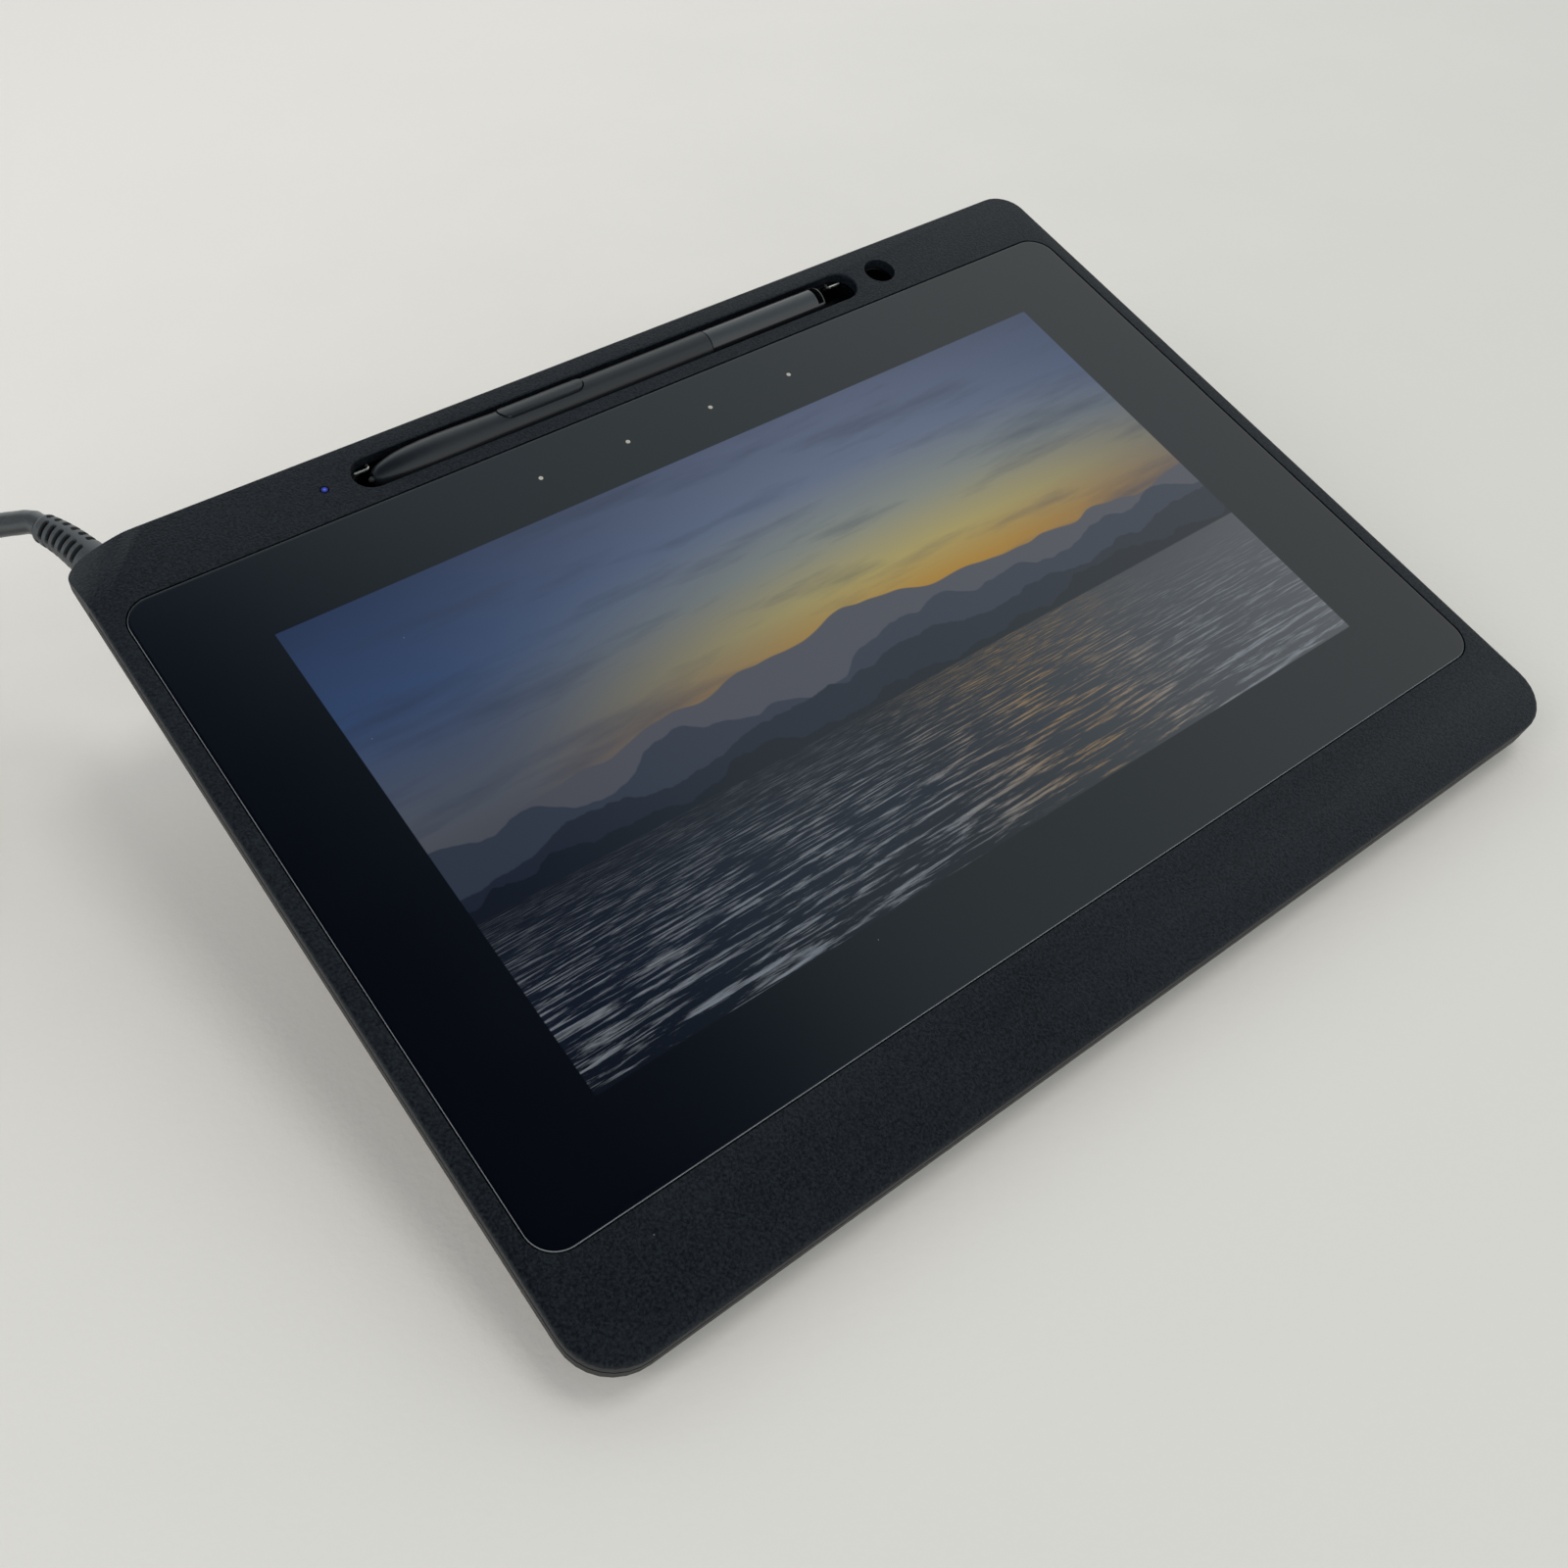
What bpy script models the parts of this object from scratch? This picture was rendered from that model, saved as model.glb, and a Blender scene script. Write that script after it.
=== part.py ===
"""Desk signature pad: a pen display on a fixed wedge stand, with its pen and its lead.

Lengths are in metres, +Z is up and the pad stands on Z = 0. The case is drawn in its own frame,
the case frame: origin at the middle of the outline on the top face of the glass, +X to the right,
+Y to the rear, +Z out of the glass. An empty leans that frame back by TILT. The lead lies in the
frame of the table.
"""
import math

import bmesh
import bpy
import numpy as np
from mathutils import Matrix, Quaternion, Vector

# Case outline and walls
CASE_WIDTH = 0.2816
CASE_DEPTH = 0.2120
FRONT_CORNER_RADIUS = 0.0120
REAR_CORNER_RADIUS = 0.0080
LEAD_CORNER_RADIUS = 0.0050
EDGE_RADIUS = 0.0010
RIM_HEIGHT = 0.0075
PART_LINE_DEPTH = 0.0034
PART_LINE_GAP = 0.0006
PART_LINE_INSET = 0.0009
RIM_CHAMFER = 0.0004
RIM_STEP = 0.0015
TOP_WALL = 0.0020
TOP_SKIN = 0.0028
BODY_WALL = 0.0016
BODY_SIDE_INSET = 0.0090
BODY_REAR_INSET = 0.0035
BODY_FRONT_RADIUS = 0.0140
BODY_REAR_RADIUS = 0.0060
TILT = math.radians(15.0)
FRONT_CLEARANCE = 0.0035

# Clearances
FIT_GAP = 0.0003
LAYER_GAP = 0.0002
OVERRUN = 0.0020

# Glass and what lies under it, from the top down
FRAME_SIDE_WIDTH = 0.0045
FRAME_FRONT_WIDTH = 0.0237
FRAME_REAR_WIDTH = 0.0195
GLASS_WIDTH = CASE_WIDTH - 2.0 * FRAME_SIDE_WIDTH
GLASS_DEPTH = CASE_DEPTH - FRAME_FRONT_WIDTH - FRAME_REAR_WIDTH
GLASS_MIDDLE_Y = (FRAME_FRONT_WIDTH - FRAME_REAR_WIDTH) / 2.0
GLASS_CORNER_RADIUS = 0.0068
GLASS_THICKNESS = 0.0011
GLASS_BEVEL = 0.0003
GLASS_SIDE_GAP = 0.0004
GASKET_THICKNESS = 0.0003
GASKET_INSET = 0.0008
GASKET_WIDTH = 0.0030
LEDGE_WIDTH = 0.0050
SCREEN_SIDE_MARGIN = 0.02495
SCREEN_FRONT_SHARE = 0.12648
SCREEN_FRONT_MARGIN = GLASS_DEPTH * SCREEN_FRONT_SHARE
SCREEN_REAR_MARGIN = 0.02215
SCREEN_WIDTH = GLASS_WIDTH - 2.0 * SCREEN_SIDE_MARGIN
SCREEN_DEPTH = GLASS_DEPTH - SCREEN_FRONT_MARGIN - SCREEN_REAR_MARGIN
SCREEN_MIDDLE_Y = GLASS_MIDDLE_Y + (SCREEN_FRONT_MARGIN - SCREEN_REAR_MARGIN) / 2.0
SCREEN_FRONT_BORDER = 0.0075
SCREEN_REAR_BORDER = 0.0032
SCREEN_SIDE_BORDER = 0.0037
PANEL_THICKNESS = 0.0024
BACKLIGHT_THICKNESS = 0.0020
PANEL_FRAME_WALL = 0.0008
SENSOR_BORDER = 0.0040
SENSOR_THICKNESS = 0.0008
SHIELD_THICKNESS = 0.0005

# Touch keys
KEY_COUNT = 4
KEY_PITCH = 0.0249
KEY_MIDDLE_X = 0.0001
KEY_SETBACK = 0.0112
KEY_Y = CASE_DEPTH / 2.0 - FRAME_REAR_WIDTH - KEY_SETBACK
KEY_LIGHT_RADIUS = 0.0007
KEY_BOARD_LENGTH = 0.0920
KEY_BOARD_DEPTH = 0.0145
KEY_BOARD_SHIFT = 0.0025
KEY_BOARD_MIDDLE_Y = KEY_Y + KEY_BOARD_SHIFT
BOARD_THICKNESS = 0.0010

# Pen tray and pen hole, in the band behind the glass
TRAY_SETBACK = 0.0102
TRAY_Y = CASE_DEPTH / 2.0 - TRAY_SETBACK
SLOT_LENGTH_SHARE = 0.5355
SLOT_LENGTH = CASE_WIDTH * SLOT_LENGTH_SHARE
SLOT_WIDTH = 0.0097
SLOT_EDGE = 0.0003
TRAY_WALL = 0.0010
TRAY_LEDGE_DEPTH = 0.0042
TRAY_LEDGE_WIDTH = 0.0011
TRAY_FLOOR_DEPTH = 0.0080
TETHER_PIN_RADIUS = 0.0004
TETHER_PIN_LENGTH = 0.0043
TETHER_PIN_INSET = 0.0020
TETHER_PIN_SPACE = 0.0015
TETHER_PIN_DEPTH = 0.0029
TETHER_PIN_GAP = 0.0002
HOLE_SPACING = 0.0092
HOLE_X = SLOT_LENGTH / 2.0 + HOLE_SPACING
HOLE_RADIUS = 0.0043
HOLE_CUP_WALL = 0.0010
HOLE_CUP_FLOOR = 0.0010

# Status light and power button
STATUS_SPACING = 0.0071
STATUS_X = -(SLOT_LENGTH / 2.0 + STATUS_SPACING)
STATUS_LENS_RADIUS = 0.0008
STATUS_BOARD_LENGTH = 0.0180
STATUS_BOARD_DEPTH = 0.0105
STATUS_BOARD_SHIFT = 0.0060
STATUS_BOARD_X = STATUS_X - STATUS_BOARD_SHIFT
BUTTON_SPACING = 0.0125
BUTTON_X = STATUS_X - BUTTON_SPACING
BUTTON_LENGTH = 0.0090
BUTTON_HEIGHT = 0.0020
BUTTON_TRAVEL = 0.0008
BUTTON_RECESS = 0.0001
BUTTON_EDGE = 0.0003
SWITCH_BLOCK_LENGTH = 0.0050
SWITCH_BLOCK_DEPTH = 0.0027
SWITCH_BLOCK_HEIGHT = 0.0025

# Pen, whose axis runs along X
PEN_TIP_SPACE = 0.0053
PEN_END_SPACE = 0.0117
PEN_TIP_X = PEN_TIP_SPACE - SLOT_LENGTH / 2.0
PEN_END_X = SLOT_LENGTH / 2.0 - PEN_END_SPACE
PEN_RADIUS = 0.0042
PEN_AXIS_DEPTH = 0.0029
PEN_BORE_RADIUS = 0.0032
PEN_NOSE_LENGTH = 0.0420
PEN_BORE_START = 0.0180
PEN_NIB_GUIDE = 0.0080
PEN_CAP_LENGTH = 0.0379
PEN_SEAM_X = PEN_END_X - PEN_CAP_LENGTH
PEN_SEAM_GAP = 0.0002
PEN_SPIGOT_LENGTH = 0.0060
PEN_SPIGOT_WALL = 0.0008
PEN_CAP_SOLID = 0.0090
PEN_LOOP_INSET = 0.0009
PEN_LOOP_LENGTH = 0.0018
PEN_LOOP_WIDTH = 0.0060
PEN_END_RADIUS = 0.0012
NIB_RADIUS = 0.0007
NIB_LENGTH = 0.0225
NIB_CLEARANCE = 0.0003
NIB_REACH = 0.0013
NIB_TIP_RADIUS = 0.0004
PEN_COIL_LENGTH = 0.0120
PEN_COIL_RADIUS = 0.0026
PEN_COIL_BORE = 0.0011
PEN_BOARD_LENGTH = 0.0560
PEN_BOARD_WIDTH = 0.0046
PEN_BOARD_DEPTH = 0.0012
PEN_SENSOR_LENGTH = 0.0040
PEN_SENSOR_RADIUS = 0.0024
PEN_SENSOR_GAP = 0.0008
PEN_SENSOR_OVERLAP = 0.0006
NOSE_LENGTH_SHARES = (
    0.0, 0.015, 0.034, 0.060, 0.093, 0.130, 0.165, 0.231, 0.333, 0.430, 0.524, 0.620, 0.786, 1.0
)
NOSE_RADIUS_SHARES = (
    0.357, 0.500, 0.619, 0.720, 0.812, 0.895, 0.957, 1.024, 1.076, 1.083, 1.071, 1.052, 1.012, 1.0
)

# Side switch of the pen
SWITCH_REACH = 0.0464
SWITCH_X = PEN_TIP_X + SWITCH_REACH
SWITCH_LENGTH = 0.0238
SWITCH_WIDTH = 0.0048
SWITCH_FLOOR = 0.0025
SWITCH_POCKET_FLOOR = 0.0016
SWITCH_PROUD = 0.0003
SWITCH_AXIS_RADIUS = 0.0032
SWITCH_LEAN = math.radians(18.0)

# Case screws, one pair of columns in front and one behind
CASE_SCREW_FRONT_INSET = 0.0208
CASE_SCREW_FRONT_X = CASE_WIDTH / 2.0 - CASE_SCREW_FRONT_INSET
CASE_SCREW_FRONT_SETBACK = 0.0130
CASE_SCREW_REAR_SETBACK = 0.0108
SCREW_SHANK_RADIUS = 0.0013
SCREW_HEAD_RADIUS = 0.0027
SCREW_HEAD_HEIGHT = 0.0014
SCREW_RECESS = 0.0005
SCREW_SOCKET_RADIUS = 0.0012
SCREW_SOCKET_DEPTH = 0.0008
SCREW_TOP_DEPTH = 0.0032
BOSS_RADIUS = 0.0034
BOSS_SPLIT_DEPTH = 0.0062
POST_WEB = 0.0018

# Rear left corner, where the lead leaves
BAY_WIDTH = 0.0236
BAY_DEPTH = 0.0147
BAY_COVER_DEPTH = 0.0149
BAY_COVER_INSET = 0.0030
DROOP_RADIUS = 0.0220
DROOP_START = 0.0139
RELIEF_BASE_RADIUS = 0.0046
RELIEF_TIP_RADIUS = 0.0035
RELIEF_NECK_RADIUS = 0.0036
RELIEF_NECK_LENGTH = 0.0130
RELIEF_LENGTH = 0.0182
RELIEF_AXIS_DEPTH = 0.0093
RELIEF_EXIT_INSET = 0.0083
RELIEF_EXIT_X = RELIEF_EXIT_INSET - CASE_WIDTH / 2.0
RELIEF_TURN = math.radians(16.0)
RELIEF_SLOT_COUNT = 6
RELIEF_SLOT_PITCH = 0.0022
RELIEF_SLOT_START = 0.0040
RELIEF_SLOT_WIDTH = 0.0010
RELIEF_SLOT_ROLL = math.radians(-40.0)
RELIEF_NOSE_RADIUS = 0.0030
RELIEF_CORE_RADIUS = 0.0024
INNER_LEAD_RADIUS = 0.0019

# Security slot, in the rear wall
LOCK_INSET = 0.0308
LOCK_X = CASE_WIDTH / 2.0 - LOCK_INSET
LOCK_SLOT_WIDTH = 0.0070
LOCK_SLOT_HEIGHT = 0.0030
LOCK_PLATE_WIDTH = 0.0130
LOCK_PLATE_HEIGHT = 0.0044
LOCK_PLATE_THICKNESS = 0.0010
LOCK_DEPTH = 0.0096

# Wedge stand and its fixings
STAND_SIDE_INSET = 0.0448
STAND_FRONT_INSET = 0.0420
STAND_REAR_INSET = 0.0640
STAND_WIDTH = CASE_WIDTH - 2.0 * STAND_SIDE_INSET
STAND_FRONT_Y = STAND_FRONT_INSET - CASE_DEPTH / 2.0
STAND_REAR_Y = CASE_DEPTH / 2.0 - STAND_REAR_INSET
STAND_DRAFT = 0.0060
STAND_CORNER_RADIUS = 0.0080
STAND_EDGE = 0.0015
STAND_WALL = 0.0022
MOUNT_PITCH = 0.0750
MOUNT_SHIFT = 0.0030
MOUNT_MIDDLE_Y = (STAND_FRONT_Y + STAND_REAR_Y) / 2.0 - MOUNT_SHIFT
MOUNT_POST_RADIUS = 0.0062
MOUNT_SCREW_RADIUS = 0.0020
MOUNT_HEAD_RADIUS = 0.0037
MOUNT_HEAD_HEIGHT = 0.0024
MOUNT_WEB = 0.0030
MOUNT_SOCKET_RADIUS = 0.0016
INSERT_RADIUS = 0.0031
INSERT_LENGTH = 0.0048
INSERT_BOSS_RADIUS = 0.0050
INSERT_BOSS_TOP_DEPTH = 0.0085

# Boards in the case
BOARD_SPACE = 0.0024
MAIN_BOARD_LENGTH_SHARE = 0.4617
MAIN_BOARD_LENGTH = CASE_WIDTH * MAIN_BOARD_LENGTH_SHARE
MAIN_BOARD_DEPTH_SHARE = 0.2642
MAIN_BOARD_DEPTH = CASE_DEPTH * MAIN_BOARD_DEPTH_SHARE
MAIN_BOARD_X_SHARE = 0.1172
MAIN_BOARD_X = -CASE_WIDTH * MAIN_BOARD_X_SHARE
MAIN_BOARD_Y = MOUNT_MIDDLE_Y
MAIN_BOARD_THICKNESS = 0.0012
MAIN_BOARD_LIFT = 0.0010
STANDOFF_RADIUS = 0.0025
STANDOFF_INSET = 0.0045
CHIP_SINK = 0.0003
CHIP_HEIGHT = 0.0014
CHIP_SIZE = 0.0200
BRIDGE_SIZE = 0.0120
CHOKE_SIZE = 0.0080
LEAD_HEADER_LENGTH = 0.0070
LEAD_HEADER_DEPTH = 0.0100
LEAD_HEADER_HEIGHT = 0.0019
FLEX_HEADER_DEPTH = 0.0040
FLEX_X = -0.0100
FLEX_WIDTH = 0.0220
FLEX_THICKNESS = 0.0002
FLEX_REACH = 0.0022
FLEX_SINK = 0.0016

# Feet
FOOT_LENGTH = 0.0440
FOOT_WIDTH = 0.0090
FOOT_EDGE = 0.0006
FRONT_FOOT_INSET = 0.0548
FRONT_FOOT_X = CASE_WIDTH / 2.0 - FRONT_FOOT_INSET
FRONT_FOOT_SETBACK = 0.0130
REAR_FOOT_INSET = 0.0300
REAR_FOOT_X = STAND_WIDTH / 2.0 - REAR_FOOT_INSET
REAR_FOOT_SETBACK = 0.0110

# Lead, coil, tie and plug, on the table
CABLE_DIAMETER = 0.0055
CABLE_POINT_SPACING = 0.0110
COIL_CENTRE = (-0.2265, 0.1230)
COIL_MEAN_RADIUS = 0.0310
COIL_TURNS_PER_LAYER = 23.0 / 6.0
COIL_CLIMB_TURNS = 0.5
COIL_CLIMB_DIP = 0.0016
COIL_PITCH = 0.0060
COIL_START_ANGLE = math.radians(150.0)
COIL_POINTS_PER_TURN = 24
TIE_THICKNESS = 0.0005
TIE_WIDTH = 0.0060
TIE_ANGLE = math.radians(285.0)
TAIL_POINTS = (
    (-0.2573, 0.0912, 0.0089), (-0.2535, 0.0835, 0.0070), (-0.2505, 0.0750, 0.0052),
    (-0.2483, 0.0660, 0.0045), (-0.2468, 0.0570, 0.0044),
)
PLUG_DIRECTION = math.radians(-81.0)
PLUG_BODY_LENGTH = 0.0240
PLUG_BODY_WIDTH = 0.0150
PLUG_BODY_HEIGHT = 0.0082
PLUG_NECK_LENGTH = 0.0090
PLUG_NECK_RADIUS = 0.0036
PLUG_BODY_EDGE = 0.0012
PLUG_SHELL_LENGTH = 0.0118
PLUG_SHELL_WIDTH = 0.0120
PLUG_SHELL_HEIGHT = 0.0045
PLUG_SHELL_WALL = 0.0003
PLUG_TONGUE_HEIGHT = 0.0019

# The lead's way from the relief to the coil, chosen by hand, in the frame of the table
CABLE_ROUTE = (
    (-0.1418, 0.1249, 0.0610), (-0.1460, 0.1277, 0.0605), (-0.1516, 0.1313, 0.0588),
    (-0.1600, 0.1366, 0.0549), (-0.1710, 0.1436, 0.0480), (-0.1835, 0.1518, 0.0385),
    (-0.1970, 0.1600, 0.0275), (-0.2115, 0.1665, 0.0175), (-0.2270, 0.1693, 0.0096),
    (-0.2415, 0.1662, 0.0052), (-0.2533, 0.1585, 0.0039),
)

# Facet counts
CORNER_STEPS = 8
PLAIN_CORNER_STEPS = 4
ROUND_STEPS = 32
SMALL_ROUND_STEPS = 16
SCREW_STEPS = 12
PEN_STEPS = 28
CABLE_SIDES_RESOLUTION = 3

# Worked-out places
RECESS_DEPTH = GLASS_THICKNESS + GASKET_THICKNESS + 2.0 * LAYER_GAP
PANEL_TOP = -(GLASS_THICKNESS + LAYER_GAP)
PANEL_BOTTOM = PANEL_TOP - PANEL_THICKNESS
BACKLIGHT_TOP = PANEL_BOTTOM - LAYER_GAP
BACKLIGHT_BOTTOM = BACKLIGHT_TOP - BACKLIGHT_THICKNESS
SENSOR_TOP = BACKLIGHT_BOTTOM - 2.0 * LAYER_GAP
SENSOR_BOTTOM = SENSOR_TOP - SENSOR_THICKNESS
SHIELD_TOP = SENSOR_BOTTOM - LAYER_GAP
SHIELD_BOTTOM = SHIELD_TOP - SHIELD_THICKNESS
SMALL_BOARD_TOP = -(TOP_SKIN + FIT_GAP)
PANEL_WIDTH = SCREEN_WIDTH + 2.0 * SCREEN_SIDE_BORDER
PANEL_DEPTH = SCREEN_DEPTH + SCREEN_FRONT_BORDER + SCREEN_REAR_BORDER
PANEL_MIDDLE_Y = SCREEN_MIDDLE_Y + (SCREEN_REAR_BORDER - SCREEN_FRONT_BORDER) / 2.0
PANEL_FRAME_WIDTH = PANEL_WIDTH + 2.0 * (FIT_GAP + PANEL_FRAME_WALL)
PANEL_FRAME_DEPTH = PANEL_DEPTH + 2.0 * (FIT_GAP + PANEL_FRAME_WALL)
SENSOR_WIDTH = PANEL_FRAME_WIDTH + 2.0 * SENSOR_BORDER
SENSOR_DEPTH = PANEL_FRAME_DEPTH + 2.0 * SENSOR_BORDER
BODY_DEPTH = -SHIELD_BOTTOM + BOARD_SPACE + MAIN_BOARD_THICKNESS + MAIN_BOARD_LIFT + BODY_WALL
BODY_FLOOR = -(BODY_DEPTH - BODY_WALL)
MAIN_BOARD_BOTTOM = BODY_FLOOR + MAIN_BOARD_LIFT
MAIN_BOARD_TOP = MAIN_BOARD_BOTTOM + MAIN_BOARD_THICKNESS
BUTTON_DEPTH = (PART_LINE_DEPTH + PART_LINE_GAP + RIM_HEIGHT - RIM_CHAMFER) / 2.0
CABLE_RADIUS = CABLE_DIAMETER / 2.0
GLASS_HEIGHT = CASE_DEPTH / 2.0 * math.sin(TILT) + RIM_HEIGHT * math.cos(TILT) + FRONT_CLEARANCE
UNDERSIDE_HEIGHT = FRONT_CLEARANCE + RIM_STEP * math.sin(TILT)
CASE_SCREW_REAR_X = (STATUS_BOARD_LENGTH / 2.0 - STATUS_BOARD_X + CASE_WIDTH / 2.0 - BAY_WIDTH) / 2.0
FRONT_SLOPE_INSET = RIM_STEP + (BODY_DEPTH - RIM_HEIGHT) / math.tan(TILT)
CASE_FRONT_REACH = (
    (CASE_DEPTH / 2.0 - EDGE_RADIUS) * math.cos(TILT) - EDGE_RADIUS * math.sin(TILT) + EDGE_RADIUS
)
CASE_REAR_REACH = CASE_DEPTH / 2.0 * math.cos(TILT) + (RIM_HEIGHT - RIM_CHAMFER) * math.sin(TILT)
CASE_SHIFT_Y = (CASE_FRONT_REACH - CASE_REAR_REACH) / 2.0
CASE_TO_TABLE = Matrix.Translation((0.0, CASE_SHIFT_Y, GLASS_HEIGHT)) @ Matrix.Rotation(TILT, 4, "X")
COIL_LOW_Z = CABLE_RADIUS + TIE_THICKNESS + FIT_GAP

PARTS = None
CUTTERS = None
MATERIALS = {}


# Scene, materials and placing


def clear_scene():
    """Remove every object of the open file."""
    for item in list(bpy.data.objects):
        bpy.data.objects.remove(item, do_unlink=True)


def new_collection(name):
    """Add a collection to the scene."""
    collection = bpy.data.collections.new(name)
    bpy.context.scene.collection.children.link(collection)
    return collection


def make_material(name, colour, roughness, metallic=0.0, transmission=0.0, glow=0.0):
    """A Principled material of one linear colour."""
    material = bpy.data.materials.new(name)
    material.use_nodes = True
    shader = material.node_tree.nodes["Principled BSDF"]
    shader.inputs["Base Color"].default_value = (*colour, 1.0)
    shader.inputs["Roughness"].default_value = roughness
    shader.inputs["Metallic"].default_value = metallic
    shader.inputs["Transmission Weight"].default_value = transmission
    shader.inputs["Emission Color"].default_value = (*colour, 1.0)
    shader.inputs["Emission Strength"].default_value = glow
    MATERIALS[name] = material


def make_materials():
    """The finishes of the pad, named for what each is made of."""
    make_material("textured_abs", (0.013, 0.014, 0.017), 0.55)
    make_material("underside_abs", (0.016, 0.016, 0.018), 0.62)
    make_material("gloss_abs", (0.006, 0.006, 0.008), 0.12)
    make_material("etched_glass", (0.009, 0.012, 0.016), 0.30)
    make_material("pen_rubber", (0.030, 0.032, 0.036), 0.50)
    make_material("foot_rubber", (0.020, 0.020, 0.021), 0.80)
    make_material("cable_jacket", (0.030, 0.031, 0.030), 0.45)
    make_material("foam", (0.010, 0.010, 0.010), 0.90)
    make_material("screen_panel", (0.100, 0.140, 0.220), 0.40, glow=0.4)
    make_material("light_guide", (0.800, 0.800, 0.780), 0.35)
    make_material("circuit_board", (0.010, 0.090, 0.040), 0.45)
    make_material("steel", (0.560, 0.560, 0.570), 0.28, metallic=1.0)
    make_material("zinc_sheet", (0.480, 0.490, 0.500), 0.38, metallic=1.0)
    make_material("brass", (0.720, 0.500, 0.180), 0.30, metallic=1.0)
    make_material("copper_winding", (0.560, 0.220, 0.080), 0.35, metallic=1.0)
    make_material("flex_film", (0.420, 0.180, 0.030), 0.40)
    make_material("pale_lens", (0.620, 0.600, 0.560), 0.40)
    make_material("blue_lens", (0.060, 0.080, 0.900), 0.30, glow=2.0)
    make_material("nib_plastic", (0.120, 0.120, 0.120), 0.40)


def place(item, parent, material, collection=None):
    """Link an object, hang it on its parent and give it its material."""
    (collection or PARTS).objects.link(item)
    item.parent = parent
    if material:
        item.data.materials.append(MATERIALS[material])
    return item


def as_cutter(item):
    """Show an object as a wire and keep it out of the model."""
    item.hide_render = True
    item.display_type = "WIRE"
    return item


def boolean(target, tool, operation):
    """Add an exact Boolean of one tool to a piece."""
    modifier = target.modifiers.new(operation.title() + " " + tool.name, "BOOLEAN")
    modifier.operation = operation
    modifier.object = tool
    modifier.solver = "EXACT"


def cut(target, *tools):
    """Take each tool away from a piece."""
    for tool in tools:
        boolean(target, as_cutter(tool), "DIFFERENCE")


def join(target, *tools):
    """Add each tool to a piece, as one body."""
    for tool in tools:
        boolean(target, as_cutter(tool), "UNION")


def keep_inside(target, tool):
    """Keep only what lies inside the tool."""
    boolean(target, as_cutter(tool), "INTERSECT")


def bevel_edges(target, width, segments=2, angle=math.radians(40.0)):
    """Round the edges that turn by more than an angle."""
    modifier = target.modifiers.new("Rounded edges", "BEVEL")
    modifier.width = width
    modifier.segments = segments
    modifier.limit_method = "ANGLE"
    modifier.angle_limit = angle
    modifier.harden_normals = False


def shade(item, angle=math.radians(35.0)):
    """Shade a piece smooth up to an angle."""
    item.data.shade_smooth()
    item.data.set_sharp_from_angle(angle=angle)
    return item


# Shapes


def mesh_object(name, mesh, parent, material, cutter=False):
    """Wrap a mesh in an object of the right collection."""
    item = bpy.data.objects.new(name, mesh)
    return place(item, parent, material, CUTTERS if cutter else PARTS)


def from_bmesh(name, shape, parent, material, cutter=False):
    """Write a bmesh into a new object."""
    mesh = bpy.data.meshes.new(name)
    shape.to_mesh(mesh)
    shape.free()
    return mesh_object(name, mesh, parent, material, cutter)


def box(name, size, middle, parent, material=None, turn=None):
    """A box of a size about its middle; without a material it is a cutter."""
    shape = bmesh.new()
    bmesh.ops.create_cube(shape, size=1.0)
    bmesh.ops.scale(shape, vec=Vector(size), verts=shape.verts)
    item = from_bmesh(name, shape, parent, material, cutter=material is None)
    item.location = middle
    if turn:
        item.rotation_euler = turn
    return item


def cylinder(name, radius, low, high, middle, parent, material=None, steps=ROUND_STEPS, turn=None):
    """An upright cylinder between two heights, or along its own Z when turned."""
    shape = bmesh.new()
    bmesh.ops.create_cone(
        shape, cap_ends=True, segments=steps, radius1=radius, radius2=radius, depth=high - low
    )
    bmesh.ops.translate(shape, vec=(0.0, 0.0, (high + low) / 2.0), verts=shape.verts)
    item = from_bmesh(name, shape, parent, material, cutter=material is None)
    item.location = middle
    if turn:
        item.rotation_euler = turn
    return shade(item)


def rounded_rectangle(
    width, depth, front_radius, rear_radius, middle_y=0.0, steps=CORNER_STEPS, lead_radius=None
):
    """Points of a rectangle with round corners, anticlockwise from the rear right corner.

    The rear left corner, where the lead leaves, can have a radius of its own.
    """
    half_width = width / 2.0
    half_depth = depth / 2.0
    left_radius = rear_radius if lead_radius is None else lead_radius
    corners = (
        (half_width - rear_radius, half_depth - rear_radius, rear_radius),
        (left_radius - half_width, half_depth - left_radius, left_radius),
        (front_radius - half_width, front_radius - half_depth, front_radius),
        (half_width - front_radius, front_radius - half_depth, front_radius),
    )
    points = []
    for quarter, (centre_x, centre_y, radius) in enumerate(corners):
        for step in range(steps + 1):
            angle = math.pi / 2.0 * (quarter + step / steps)
            points.append((
                centre_x + radius * math.cos(angle), middle_y + centre_y + radius * math.sin(angle)
            ))
    return points


def stadium(length, width, middle_x=0.0, middle_y=0.0):
    """Points of a slot with round ends, along X."""
    points = []
    half_run = (length - width) / 2.0
    for side, start in ((1.0, -math.pi / 2.0), (-1.0, math.pi / 2.0)):
        for step in range(CORNER_STEPS + 1):
            angle = start + math.pi * step / CORNER_STEPS
            points.append((
                middle_x + side * half_run + width / 2.0 * math.cos(angle),
                middle_y + width / 2.0 * math.sin(angle),
            ))
    return points


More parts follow.
